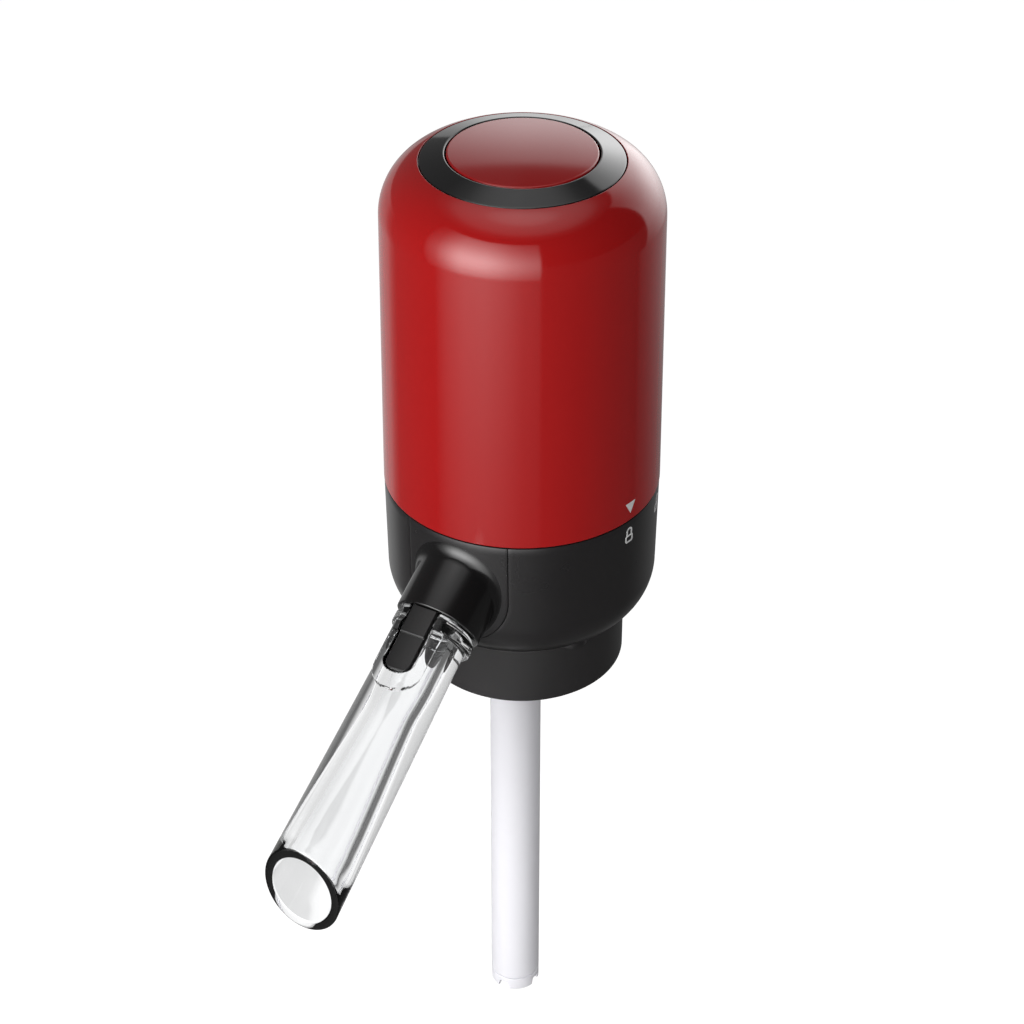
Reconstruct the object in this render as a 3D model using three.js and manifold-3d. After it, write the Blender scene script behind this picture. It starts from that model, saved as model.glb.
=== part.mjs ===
// Electric wine decanter that stands in the mouth of a bottle: a pump unit, twisted onto a black
// collar, blows air into the bottle, and the wine rises through a telescopic tube and leaves by a
// clear spout. Millimetres, +Z up, origin at the centre of the face that rests on the bottle's lip,
// spout towards -Y.
import * as THREE from "three";
import { mergeVertices } from "three/addons/utils/BufferGeometryUtils.js";
import Module from "manifold-3d";

const wasm = await Module();
wasm.setup();

// Clearances
const gap = 0.3; // between neighbouring pieces
const overrun = 1; // how far a cutter runs past the face that it cuts
const weld = 1e-4; // vertices closer than this are one

// Numbers of sides
const bodySides = 36; // housing, collar and what is seen with them
const spoutSides = 24; // spout, its boss and its socket
const pieceSides = 16; // middle-sized inner pieces
const smallSides = 8; // pins, screws and hoses
const filletSteps = 4;

// Wine path inside the collar
const tubeOffset = 2.8; // the dip tube's axis, from the body's axis towards the spout
const wineBoreRadius = 3;
const stemWall = 1.8;
const stemRadius = wineBoreRadius + stemWall;
const stemLength = 30; // below the bottle's lip
const stemHeadLedge = 1.2;
const stemHeadRadius = stemRadius + stemHeadLedge;
const stemHeadHeight = 1.7;
const stemBarbWall = 0.9;
const stemBarbRadius = wineBoreRadius + stemBarbWall;
const stemBarbHeight = 5;
const elbowWall = 1.2;
const elbowOuterRadius = wineBoreRadius + elbowWall;
const elbowSocketLength = 6;
const elbowBendHeight = 17.5; // from where the elbow starts to bend up to the spout's axis
const elbowStraight = 10.2; // the elbow's straight end, along the spout's axis
const elbowEndSpace = 1.3; // from the elbow's end to the spigot's end stop
const elbowSteps = 14;

// Bottle seat, from the stem outwards: stopper, gasket and skirt
const stopperLength = 18.2;
const stopperThinWall = 0.2; // where the stem's hole comes nearest to the stopper's side
const stopperTipRadius = tubeOffset + stemRadius + gap + stopperThinWall;
const stopperTaper = 1.1;
const stopperTopRadius = stopperTipRadius + stopperTaper;
const stopperHeadLedge = 1;
const stopperHeadRadius = stopperTopRadius + stopperHeadLedge; // inside the gasket
const stopperRibReach = 1.8;
const stopperRibRadius = stopperTipRadius + stopperRibReach;
const stopperRibHeight = 1.1;
const stopperRibPitch = 4.4;
const stopperRibs = 3;
const gasketThickness = 1.2;
const gasketSpace = 0.4; // round the stopper's head
const gasketInnerRadius = stopperHeadRadius + gasketSpace;
const gasketWidth = 5.2;
const gasketOuterRadius = gasketInnerRadius + gasketWidth;
const bottleSpace = 4.8; // from the gasket's rim to the skirt's wall
const skirtDepth = 10; // below the bottle's lip
const skirtInnerRadius = gasketOuterRadius + bottleSpace;
const skirtWall = 2.6;
const skirtOuterRadius = skirtInnerRadius + skirtWall;
const skirtMouthChamfer = 0.8;
const flangeThickness = 1.45; // the skirt's inward flange, above the gasket

// Telescopic tube: the outer stage is fixed on the stem
const stageFit = 0.35; // from each stage to what it slides on
const outerTubeWall = 0.75;
const stageWall = 0.65;
const outerTubeBore = stemRadius + stageFit;
const outerTubeRadius = outerTubeBore + outerTubeWall;
const middleTubeRadius = outerTubeBore - stageFit;
const middleTubeBore = middleTubeRadius - stageWall;
const innerTubeRadius = middleTubeBore - stageFit;
const innerTubeBore = innerTubeRadius - stageWall;
const tubeTop = stopperLength + gap + gap;
const tubeBottom = 110.4;
const footHeight = 3.4;
const footNotchWidth = 2.6;
const footNotchHeight = 2;
const stageInset = 2; // each stage starts this far below the one around it

// Air path from the pump to the bottle, beside the stem's head
const airBoreRadius = 1;
const barbRadius = 1.8;
const barbLength = 4;
const hoseWall = 0.7;
const hoseInner = barbRadius + gap;
const hoseOuter = hoseInner + hoseWall;
const airLineOffset = stemHeadRadius - tubeOffset + hoseOuter; // away from the spout
const lowerHoseSpace = 4.25; // between the barbs in the lower hose
const upperHoseSpace = 1.25;
const valveRadius = 3.7;
const valveLength = 8;
const galleryHalfWidth = 3.2;
const galleryDepth = 2.4;
const cupInnerRadius = 3.3;
const cupWall = 1.5;
const cupHeight = 2.9;
const nippleRadius = 1.9;

// Pump and motor, hung in the housing above the chassis
const chassisThickness = 2.4;
const motorRadius = 12.2;
const motorLength = 27.6;
const motorWall = 1;
const motorNoseRadius = 3.2;
const motorNoseHeight = 1.1;
const motorShaftRadius = 1;
const shaftHoleClearance = 0.15;
const endCapHeight = 3;
const magnetThickness = 2.2;
const magnetLength = 18;
const magnetHalfAngle = 62;
const magnetOuter = motorRadius - motorWall - gap;
const magnetInner = magnetOuter - magnetThickness;
const armatureSpace = 1.1; // between the armature and the magnets
const armatureRadius = magnetInner - armatureSpace;
const armatureLength = 14;
const armaturePoles = 3;
const slotWidth = 2.4;
const pumpRadius = motorRadius;
const pumpCoverHeight = 3.6;
const valvePlateHeight = 1.7;
const diaphragmThickness = 1.2;
const diaphragmCups = 3;
const cupRadius = 3.4;
const cupInset = 2.2; // from the pump's rim
const cupPitchRadius = pumpRadius - cupRadius - cupInset;
const cupRise = 2.8;
const bracketWall = 1.4;
const bracketHeight = 9;
const bracketRoof = 1.2;
const bracketWindowWidth = 9;
const rockerHubRadius = 3;
const rockerArmWidth = 3;
const rockerThickness = 1.4;
const crankRadius = 4.4;
const crankThickness = 1.7;
const tiltPinRadius = 0.6;
const tiltPinOffset = 2.4; // where the slanted pin leaves the crank disc
const tiltPinSpace = 0.45; // round the pin in the rocker

// Cells in a ring round the motor, their contacts, and the chassis and cap that hold them
const cellRadius = 5.25;
const cellLength = 44.5;
const cellNubRadius = 1.9;
const cellNubHeight = 0.8;
const cellMotorSpace = 4.55; // between the motor and the cells
const cellPitchRadius = motorRadius + cellMotorSpace + cellRadius;
const cellCount = 6;
const contactThickness = 0.5;
const contactHalfWidth = 3.4;
const cradleWall = 1;
const cradleHeight = 7;
const chassisEdge = 0.55; // beyond the cells
const chassisRadius = cellPitchRadius + cellRadius + chassisEdge;
const columnInset = 0.6; // of columns and screw bosses, from the chassis's rim
const tieRadius = 2;
const tiePitchRadius = chassisRadius - columnInset - tieRadius;
const tieAzimuths = [90, 210, 330];
const housingBossRadius = 3;
const housingBossPitchRadius = chassisRadius - columnInset - housingBossRadius;
const housingBossHeight = 12;
const capThickness = 2.4;
const capInset = 0.4;
const capRadius = chassisRadius - capInset;

// Housing, round the chassis
const seamGap = 0.3;
const housingWall = 2;
const chassisSpace = 0.7; // between the chassis and the housing's wall
const housingInnerBottom = chassisRadius + chassisSpace;
const housingBottomRadius = housingInnerBottom + housingWall;
const housingDraft = 0.5;
const housingTopRadius = housingBottomRadius - housingDraft;
const shoulderRadius = 13;
const shoulderRise = 6.3; // where the shoulder starts, above the battery cap
const shoulderCentreRadius = housingTopRadius - shoulderRadius;

// Trim ring and button
const shoulderWidth = 8.65; // from the housing's side in to the ring
const ringOuterRadius = housingTopRadius - shoulderWidth;
const ringWidth = 5.32;
const ringInnerRadius = ringOuterRadius - ringWidth;
const ringGroove = 0.22; // between the housing and the ring
const ringDepth = 3;
const ringChamfer = 0.35;
const ringRise = 0.3; // the ring's inner edge stands this much above its outer edge
const ringSeatWidth = 2.2;
const ringSeatThickness = 2.6;
const guideWall = 1.3;
const guideDepth = 9;
const buttonRadius = ringInnerRadius - gap;
const buttonProud = 1.65; // above the ring
const buttonDome = 0.5;
const buttonEdge = 0.4;
const buttonRoof = 1.6;
const buttonWall = 1.3;
const buttonTravel = 1.5;
const buttonLipHeight = 1.6;
const buttonLipWidth = 1.2;
const buttonStemRadius = 2.2;

// Twist lock between the housing and the deck
const twistAngle = 26; // degrees from locked to free
const lugCount = 3;
const lugFirstAzimuth = 30;
const lugHalfAngle = 4;
const lugClearAngle = 1;
const lugReach = 1.6;
const lugHeight = 2;
const lugLift = 0.8; // the lug's underside above the deck
const lugSpace = 0.35; // from the lug's inner face to the floor of its track
const neckSpace = 0.5; // between the neck and the housing's wall
const neckWall = 3;
const neckRim = 1.1; // above the lugs' tracks
const neckOuterRadius = housingInnerBottom - neckSpace;
const neckInnerRadius = neckOuterRadius - neckWall;
const deckThickness = 1.8;

// Collar, under the housing
const seamStep = 0.1; // the housing stands this much proud of the collar
const collarTopRadius = housingBottomRadius - seamStep;
const collarDraft = 0.35;
const collarLowRadius = collarTopRadius - collarDraft; // where the rounding starts
const collarRounding = 12;
const collarWall = 2;
const screwRadius = 1.1;
const screwHeadRadius = 2.4;
const screwHeadHeight = 1.5;
const screwLength = 9;
const postRadius = 3.2;
const postInset = 0.4; // from the neck's inner face to the screw's head
const postPitchRadius = neckInnerRadius - postInset - screwHeadRadius;
const postAzimuths = [90, 210, 330];

// Spout: its axis slopes down, away from the body's axis, and distances along it start there
const spoutSlope = 30; // degrees below the horizontal
const spoutAxisRise = 2.35; // where it crosses the body's axis, above the housing's bottom edge
const bossReach = 12.3; // the boss's mouth, beyond the collar's radius
const bossMouth = collarTopRadius + bossReach;
const bossMouthChamfer = 0.4;
const spigotLength = 11.2;
const socketEnd = bossMouth - spigotLength; // the spigot's end stop
const bossInnerLength = 5.5; // from the end stop inwards, round the elbow
const bossInnerEnd = socketEnd - bossInnerLength;
const elbowEnd = socketEnd - elbowEndSpace;
const elbowJoin = elbowEnd - elbowStraight;
const socketRadius = 6.7;
const bossWall = 3.03;
const bossRadius = socketRadius + bossWall;
const bossInnerWall = 0.7;
const bossInnerRadius = socketRadius + bossInnerWall;
const flareTop = 2.3;
const flareBottom = 1;
const flareSink = 0.6; // the flare's rim ends this deep in the panel
const panelMargin = 2.57; // the panel beside the boss
const panelHalfWidth = bossRadius + panelMargin;
const panelStraight = 14.65; // straight sides of the panel, above its half circle
const panelLap = 1.6; // the panel's inner lip, behind the collar's wall
const panelLipThickness = 1.3;
const spigotFit = 0.35;
const spigotRadius = socketRadius - spigotFit;
const spigotWall = 2.15;
const spoutBoreRadius = spigotRadius - spigotWall;
const spoutLength = 50; // from the boss's mouth to the tip's upright end face
const spoutReach = bossMouth + spoutLength;
const grooveInset = 1.23; // of the groove beside the boss, under the boss's radius
const spoutGrooveRadius = bossRadius - grooveInset;
const spoutGrooveWidth = 0.9;
const flangeInset = 0.53;
const spoutFlangeRadius = bossRadius - flangeInset;
const spoutFlangeThickness = 2.6;
const neckInset = 1.68;
const spoutNeckRadius = bossRadius - neckInset;
const spoutFlare = 1.12; // from the spout's neck to its tip
const spoutTipRadius = spoutNeckRadius + spoutFlare;
const mouthWall = 1.97;
const spoutMouthRadius = spoutTipRadius - mouthWall;
const oRingWire = 0.45;
const oRingSpace = 0.25; // between the ring and the socket
const oRingRadius = socketRadius - oRingSpace - oRingWire; // to the middle of the wire
const oRingGrooveDepth = 0.95;
const oRingGrooveRadius = spigotRadius - oRingGrooveDepth;
const oRingGrooveWidth = 1.6;
const oRingGrooveInset = 3; // from the spigot's end
const padHalfWidth = 5.2; // raised U-shaped pad on the spout's top
const padLength = 19.4;
const padInset = 0.33;
const padRadius = bossRadius - padInset;
const latchHalfWidth = 2.9;
const latchLength = 15.6;
const latchTop = padRadius - gap;
const latchRootDrop = 0.9;
const latchRootTop = latchTop - latchRootDrop;
const latchThickness = 1.9;
const latchBottom = latchTop - latchThickness;
const latchStepDrop = 0.35;
const latchStep = 6.6; // the latch's first step, from the boss's mouth
const latchRoot = 2.4; // how far the latch runs inside the boss

// Switch
const boardThickness = 1.6;
const boardRadius = 12.4;
const boardStand = 1.8;
const boardStandRadius = 1.6;
const boardStandInset = 0.6;
const boardStandPitchRadius = boardRadius - boardStandInset - boardStandRadius;
const plungerRadius = 1.8;
const plungerLength = 5.4;
const plungerDepth = 2.8; // how much of it stands inside the switch at rest
const switchWidth = 8.4;
const switchFloor = 0.6;
const switchHeight = plungerDepth + buttonTravel + gap + switchFloor;
const springRadius = 8;
const springWire = 0.45;
const springTurns = 4;
const springSides = 5;
const springStepsPerTurn = 8;

// Levels, from the bottle's lip upwards: the collar is as tall as the air line inside it
const collarFloor = gasketThickness + gap + flangeThickness + gap;
const collarInnerFloor = collarFloor + collarWall;
const collarRoundLevel = collarFloor + collarRounding;
const floorBarbTop = collarInnerFloor + barbLength;
const valveLevel = floorBarbTop + lowerHoseSpace + barbLength;
const valveTop = valveLevel + valveLength;
const deckBarbBottom = valveTop + barbLength + upperHoseSpace;
const galleryBottom = deckBarbBottom + barbLength;
const deckBottom = galleryBottom + galleryDepth;
const deckTop = deckBottom + deckThickness;
const collarTop = deckBottom - gap;
const housingBottom = collarTop + seamGap;
const spoutAxisLevel = housingBottom + spoutAxisRise;
const elbowRise = spoutAxisLevel - elbowBendHeight; // where the elbow starts to bend
const panelCentreLevel = collarTop - panelStraight;
const lugBottom = deckTop + lugLift;
const lugTop = lugBottom + lugHeight;
const neckTop = lugTop + gap + neckRim;
const chassisBottom = neckTop + gap;
const chassisTop = chassisBottom + chassisThickness;

// Levels of the pump and the motor, stacked on the chassis
const coverBottom = chassisTop + gap;
const coverTop = coverBottom + pumpCoverHeight;
const plateBottom = coverTop + gap;
const plateTop = plateBottom + valvePlateHeight;
const skinBottom = plateTop + gap;
const skinTop = skinBottom + diaphragmThickness;
const bracketBottom = skinTop + gap;
const bracketTop = bracketBottom + bracketHeight;
const canBottom = bracketTop + gap;
const canTop = canBottom + motorLength;
const motorTop = canTop + gap + endCapHeight / 2;

// Levels of the cells and of what stands on them. The cap clears the cells and the motor.
const cellsBottom = chassisTop + gap + contactThickness + gap;
const cellsTop = cellsBottom + cellLength;
const capBottom = Math.max(cellsTop + gap + contactThickness, motorTop) + gap;
const capTop = capBottom + capThickness;
const shoulderLevel = capTop + shoulderRise;
const boardBottom = capTop + boardStand + gap;
const boardTop = boardBottom + boardThickness;
const switchBottom = boardTop + gap;
const switchTop = switchBottom + switchHeight;
const plungerBottom = switchTop - plungerDepth;
const plungerTop = plungerBottom + plungerLength;

const radians = THREE.MathUtils.degToRad;
const slope = radians(spoutSlope);
const spoutSpin = new THREE.Matrix4().makeRotationX(Math.PI / 2 + slope);
const spoutFrame = new THREE.Matrix4().makeTranslation(0, 0, spoutAxisLevel).multiply(spoutSpin);

// Geometry helpers

// A three.js geometry as a solid, moved by an optional matrix, with its faces turned outwards.
function solid(geometry, matrix = new THREE.Matrix4()) {
  const bare = new THREE.BufferGeometry();
  bare.setAttribute("position", geometry.getAttribute("position").clone());
  if (geometry.index) bare.setIndex(geometry.index.clone());
  bare.applyMatrix4(matrix);
  const merged = mergeVertices(bare, weld);
  const place = merged.getAttribute("position");
  const corners = [];
  for (let i = 0; i < merged.index.count; i += 3) {
    const [a, b, c] = [0, 1, 2].map((k) => merged.index.getX(i + k));
    if (a !== b && b !== c && c !== a) corners.push(a, b, c);
  }
  const at = (i) => new THREE.Vector3().fromBufferAttribute(place, i);
  let volume = 0;
  for (let i = 0; i < corners.length; i += 3) {
    volume += at(corners[i]).dot(at(corners[i + 1]).cross(at(corners[i + 2])));
  }
  if (volume < 0) corners.reverse();
  return new wasm.Manifold(
    new wasm.Mesh({
      numProp: 3,
      vertProperties: new Float32Array(place.array),
      triVerts: new Uint32Array(corners),
    }),
  );
}

// A closed profile of [radius, level] pairs turned about +Z.
function turned(profile, sides, matrix) {
  const points = profile.map(([radius, level]) => new THREE.Vector2(radius, level));
  points.push(points[0].clone());
  const lathe = new THREE.LatheGeometry(points, sides).rotateX(Math.PI / 2);
  return solid(lathe, matrix);
}

function cylinder(radius, low, high, sides, x = 0, y = 0) {
  const profile = [
    [0, low],
    [radius, low],
    [radius, high],
    [0, high],
  ];
  return turned(profile, sides, new THREE.Matrix4().makeTranslation(x, y, 0));
}

function tube(inner, outer, low, high, sides, x = 0, y = 0) {
  const profile = [
    [inner, low],
    [outer, low],
    [outer, high],
    [inner, high],
  ];
  return turned(profile, sides, new THREE.Matrix4().makeTranslation(x, y, 0));
}

function box(low, high, matrix) {
  const size = high.map((value, i) => value - low[i]);
  const middle = high.map((value, i) => (value + low[i]) / 2);
  const geometry = new THREE.BoxGeometry(...size).translate(...middle);
  return solid(geometry, matrix);
}

function extruded(shape, low, high, matrix, curveSegments = pieceSides / 2) {
  const depth = high - low;
  const options = { depth, bevelEnabled: false, curveSegments };
  return solid(new THREE.ExtrudeGeometry(shape, options).translate(0, 0, low), matrix);
}

// Part of a ring between two azimuths, in degrees.
function sector(inner, outer, from, to, low, high) {
  const shape = new THREE.Shape();
  shape.absarc(0, 0, outer, radians(from), radians(to), false);
  shape.absarc(0, 0, inner, radians(to), radians(from), true);
  shape.closePath();
  const steps = Math.ceil((bodySides * (to - from)) / 360);
  return extruded(shape, low, high, undefined, steps);
}

// A round rod, or with a bore a hose, along a curve.
function swept(curve, radius, steps, sides) {
  const ring = new THREE.Shape();
  for (let i = 0; i < sides; i++) {
    const turn = (2 * Math.PI * i) / sides;
    const corner = [radius * Math.cos(turn), radius * Math.sin(turn)];
    if (i === 0) ring.moveTo(...corner);
    else ring.lineTo(...corner);
  }
  ring.closePath();
  return solid(
    new THREE.ExtrudeGeometry(ring, { extrudePath: curve, steps, bevelEnabled: false }),
  );
}

function joined(...solids) {
  return solids.reduce((whole, next) => whole.add(next));
}

function without(whole, ...cutters) {
  return cutters.reduce((rest, cutter) => rest.subtract(cutter), whole);
}

function polar(radius, azimuth) {
  return [radius * Math.cos(radians(azimuth)), radius * Math.sin(radians(azimuth))];
}

function arc(centreRadius, centreLevel, radius, from, to, steps) {
  return Array.from({ length: steps + 1 }, (_, i) => {
    const turn = radians(from + ((to - from) * i) / steps);
    return [centreRadius + radius * Math.cos(turn), centreLevel + radius * Math.sin(turn)];
  });
}

const part = new THREE.Group();
const finishes = {
  red: { color: 0xb02020, roughness: 0.18, metalness: 0 },
  blackGloss: { color: 0x121113, roughness: 0.15, metalness: 0 },
  blackSatin: { color: 0x282627, roughness: 0.45, metalness: 0 },
  blackMatte: { color: 0x2a2728, roughness: 0.7, metalness: 0 },
  silicone: { color: 0xd8d6dc, roughness: 0.5, metalness: 0 },
  clear: { color: 0xeef0f0, roughness: 0.05, metalness: 0 },
  tubing: { color: 0xe3e0ee, roughness: 0.35, metalness: 0 },
  grey: { color: 0x55585c, roughness: 0.6, metalness: 0 },
  white: { color: 0xdfe0e0, roughness: 0.6, metalness: 0 },
  steel: { color: 0xb9bcc0, roughness: 0.3, metalness: 1 },
  copper: { color: 0xa86a35, roughness: 0.4, metalness: 1 },
  board: { color: 0x1f5a34, roughness: 0.6, metalness: 0 },
  cell: { color: 0x3a4450, roughness: 0.35, metalness: 0.6 },
};

function add(name, whole, finish) {
  const mesh = whole.getMesh();
  const geometry = new THREE.BufferGeometry();
  geometry.setAttribute("position", new THREE.BufferAttribute(mesh.vertProperties, 3));
  geometry.setIndex(new THREE.BufferAttribute(mesh.triVerts, 1));
  geometry.computeVertexNormals();
  const piece = new THREE.Mesh(geometry, new THREE.MeshStandardMaterial(finishes[finish]));
  piece.name = name;
  part.add(piece);
}

// Collar: outer and inner profile, rounded at the bottom
const collarRoundCentre = collarLowRadius - collarRounding;
const collarInnerRounding = collarRounding - collarWall;

function collarRadiusAt(level) {
  if (level >= collarRoundLevel) {
    const rise = (level - collarRoundLevel) / (collarTop - collarRoundLevel);
    return collarLowRadius + (collarTopRadius - collarLowRadius) * rise;
  }
  const drop = collarRoundLevel - level;
  return collarRoundCentre + Math.sqrt(Math.max(collarRounding ** 2 - drop ** 2, 0));
}

const collarShell = turned(
  [
    [0, collarFloor],
    ...arc(collarRoundCentre, collarRoundLevel, collarRounding, -90, 0, filletSteps + 2),
    [collarTopRadius, collarTop],
    [collarTopRadius - collarWall, collarTop],
    ...arc(collarRoundCentre, collarRoundLevel, collarInnerRounding, 0, -90, filletSteps),
    [0, collarInnerFloor],
  ],
  bodySides,
);

// The upright U-shaped window in the collar's wall, in which the spout carrier sits
function panelPrism(halfWidth, near, far) {
  const shape = new THREE.Shape();
  const top = collarTop + overrun - panelCentreLevel;
  shape.moveTo(halfWidth, top);
  shape.lineTo(-halfWidth, top);
  shape.lineTo(-halfWidth, 0);
  shape.absarc(0, 0, halfWidth, Math.PI, 2 * Math.PI, false);
  shape.lineTo(halfWidth, top);
  const upright = new THREE.Matrix4().makeTranslation(0, 0, panelCentreLevel);
  upright.multiply(new THREE.Matrix4().makeRotationX(Math.PI / 2));
  return extruded(shape, near, far, upright);
}

const collarFilled = turned(
  [
    [0, collarFloor],
    ...arc(collarRoundCentre, collarRoundLevel, collarRounding, -90, 0, filletSteps + 2),
    [collarTopRadius, collarTop],
    [0, collarTop],
  ],
  bodySides,
);
const panelNear = collarRoundCentre / 2;
const panelFar = collarTopRadius + overrun;
const postTop = deckBottom - gap;
const stemHoleRadius = stemRadius + gap;
const posts = postAzimuths.map((azimuth) =>
  cylinder(postRadius, collarFloor, postTop, smallSides, ...polar(postPitchRadius, azimuth)).intersect(
    collarFilled,
  ),
);
const postHoles = postAzimuths.map((azimuth) =>
  cylinder(
    screwRadius + gap,
    postTop - screwLength,
    postTop + overrun,
    smallSides,
    ...polar(postPitchRadius, azimuth),
  ),
);

const lowerCollar = without(
  joined(
    collarShell,
    ...posts,
    cylinder(barbRadius, collarFloor, floorBarbTop, smallSides, 0, airLineOffset),
  ),
  panelPrism(panelHalfWidth, panelNear, panelFar),
  cylinder(stemHoleRadius, collarFloor - overrun, collarInnerFloor + overrun, pieceSides, 0, -tubeOffset),
  cylinder(airBoreRadius, collarFloor - overrun, floorBarbTop + overrun, smallSides, 0, airLineOffset),
  ...postHoles,
);
add("lower_collar", lowerCollar, "blackSatin");

// Spout carrier: the window's panel with its inner lip, and the boss that holds the spout.
// Points on the boss are given by the distance along the spout's axis, the radius and the turn
// about it from its upper side.
function spoutPoint(along, radius, turn) {
  const out = along * Math.cos(slope) + radius * Math.cos(turn) * Math.sin(slope);
  const up = radius * Math.cos(turn) * Math.cos(slope) - along * Math.sin(slope);
  return new THREE.Vector3(radius * Math.sin(turn), -out, spoutAxisLevel + up);
}

// Where such a line along the spout passes out of the collar, less a depth below its surface.
function meetsCollar(radius, turn, sink = 0) {
  let near = 0;
  let far = bossMouth + bossRadius;
  for (let i = 0; i < bodySides; i++) {
    const middle = (near + far) / 2;
    const point = spoutPoint(middle, radius, turn);
    if (Math.hypot(point.x, point.y) < collarRadiusAt(point.z) - sink) near = middle;
    else far = middle;
  }
  return near;
}

function flaredBoss() {
  const sides = spoutSides;
  const rings = [];
  const ringAt = (place) => {
    const turns = Array.from({ length: sides }, (_, i) => (Math.PI * (2 * i + 1)) / sides);
    rings.push(turns.map((turn) => spoutPoint(...place(turn), turn)));
  };
  ringAt(() => [bossMouth, bossRadius - bossMouthChamfer]);
  ringAt(() => [bossMouth - bossMouthChamfer, bossRadius]);
  const flareAt = (turn) => flareTop + ((flareBottom - flareTop) * (1 - Math.cos(turn))) / 2;
  for (let step = 0; step <= filletSteps; step++) {
    const share = step / filletSteps;
    ringAt((turn) => {
      const flare = flareAt(turn);
      const root = meetsCollar(bossRadius, turn);
      const rim = meetsCollar(bossRadius + flare, turn, flareSink);
      const start = Math.min(root + flare, bossMouth - bossMouthChamfer);
      const along = (1 - share) ** 2 * start + 2 * share * (1 - share) * root + share ** 2 * rim;
      return [along, bossRadius + flare * share ** 2];
    });
  }
  ringAt((turn) => [meetsCollar(bossRadius + flareAt(turn), turn) - collarWall / 2, bossRadius]);
  const vertices = rings.flat().flatMap((point) => point.toArray());
  const last = rings.length - 1;
  vertices.push(...spoutPoint(bossMouth, 0, 0).toArray());
  vertices.push(...spoutPoint(meetsCollar(0, 0) - collarWall, 0, 0).toArray());
  const faces = [];
  for (let i = 0; i < sides; i++) {
    const next = (i + 1) % sides;
    for (let k = 0; k < last; k++) {
      const [a, b] = [k * sides + i, k * sides + next];
      faces.push(a, b, b + sides, a, b + sides, a + sides);
    }
    faces.push(next, i, rings.length * sides);
    faces.push(last * sides + i, last * sides + next, rings.length * sides + 1);
  }
  const geometry = new THREE.BufferGeometry();
  geometry.setAttribute("position", new THREE.Float32BufferAttribute(vertices, 3));
  geometry.setIndex(faces);
  return solid(geometry);
}

// Solids about the spout's axis are drawn upright and laid along it. Half a step of turn keeps
// their edges off the collar's edges.
function alongSpout(profile, sides) {
  const halfStep = new THREE.Matrix4().makeRotationZ(Math.PI / sides);
  return turned(profile, sides, spoutFrame.clone().multiply(halfStep));
}

const lipOuterRadius = collarTopRadius - collarWall - gap;
const lipOuterLine = [
  [lipOuterRadius - collarRounding / filletSteps, collarFloor + collarRounding / 2],
  [lipOuterRadius - collarWall / filletSteps, collarRoundLevel],
  [lipOuterRadius, postTop],
];
const lipInnerLine = lipOuterLine.map(([radius, level]) => [radius - panelLipThickness, level]);
const lipRing = turned([...lipOuterLine, ...lipInnerLine.reverse()], bodySides);
const carrierPanel = collarShell.intersect(panelPrism(panelHalfWidth - gap, panelNear, panelFar));
const carrierLip = lipRing.intersect(panelPrism(panelHalfWidth + panelLap, panelNear, panelFar));
const carrierWeb = tube(
  lipOuterRadius - panelLipThickness / 2,
  collarTopRadius - collarWall / 2,
  panelCentreLevel,
  postTop,
  bodySides,
).intersect(panelPrism(panelHalfWidth - gap - panelLap, panelNear, panelFar));
const bossBody = alongSpout(
  [
    [0, bossInnerEnd],
    [bossInnerRadius, bossInnerEnd],
    [bossInnerRadius, bossMouth - bossMouthChamfer - overrun],
    [0, bossMouth - bossMouthChamfer - overrun],
  ],
  spoutSides,
);
const socketBore = alongSpout(
  [
    [0, bossInnerEnd - overrun],
    [elbowOuterRadius + gap, bossInnerEnd - overrun],
    [elbowOuterRadius + gap, socketEnd],
    [socketRadius, socketEnd],
    [socketRadius, bossMouth + overrun],
    [0, bossMouth + overrun],
  ],
  spoutSides,
);
// The latch's root lies in a notch in the boss's mouth.
const latchNotch = box(
  [-latchHalfWidth - gap, latchBottom - gap, bossMouth - latchRoot - gap],
  [latchHalfWidth + gap, latchRootTop + gap, bossMouth + overrun],
  spoutFrame,
);
const spoutCarrier = without(
  joined(carrierPanel, carrierLip, carrierWeb, flaredBoss(), bossBody),
  socketBore,
  latchNotch,
);
add("spout_carrier", spoutCarrier, "blackSatin");

// Latch: a springy tongue on the spout, stepped down once
const latchProfile = new THREE.Shape();
const latchRootAt = bossMouth - latchRoot;
const latchTip = bossMouth + latchLength;
const latchRound = latchHalfWidth - latchStepDrop;
latchProfile.moveTo(-latchHalfWidth, latchRootAt);
latchProfile.lineTo(latchHalfWidth, latchRootAt);
latchProfile.lineTo(latchHalfWidth, latchTip - latchRound);
const latchRoundAt = [latchHalfWidth - latchRound, latchTip - latchRound];
latchProfile.absarc(...latchRoundAt, latchRound, 0, Math.PI / 2, false);
latchProfile.absarc(-latchRoundAt[0], latchRoundAt[1], latchRound, Math.PI / 2, Math.PI, false);
latchProfile.closePath();
// Plan shapes on the spout's top have their Y along the spout and are raised square to it.
const planAxes = new THREE.Matrix4().makeBasis(
  new THREE.Vector3(-1, 0, 0),
  new THREE.Vector3(0, 0, 1),
  new THREE.Vector3(0, 1, 0),
);
const planFrame = spoutFrame.clone().multiply(planAxes);
const latchBody = extruded(latchProfile, latchBottom, latchTop, planFrame);
const latchStepCut = box(
  [-latchHalfWidth - overrun, latchTop - latchStepDrop, bossMouth + latchStep],
  [latchHalfWidth + overrun, latchTop + overrun, latchTip + overrun],
  spoutFrame,
);
const latchRootCut = box(
  [-latchHalfWidth - overrun, latchRootTop, latchRootAt - overrun],
  [latchHalfWidth + overrun, latchTop + overrun, bossMouth + gap],
  spoutFrame,
);
add("spout_latch", without(latchBody, latchStepCut, latchRootCut), "blackMatte");

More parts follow.
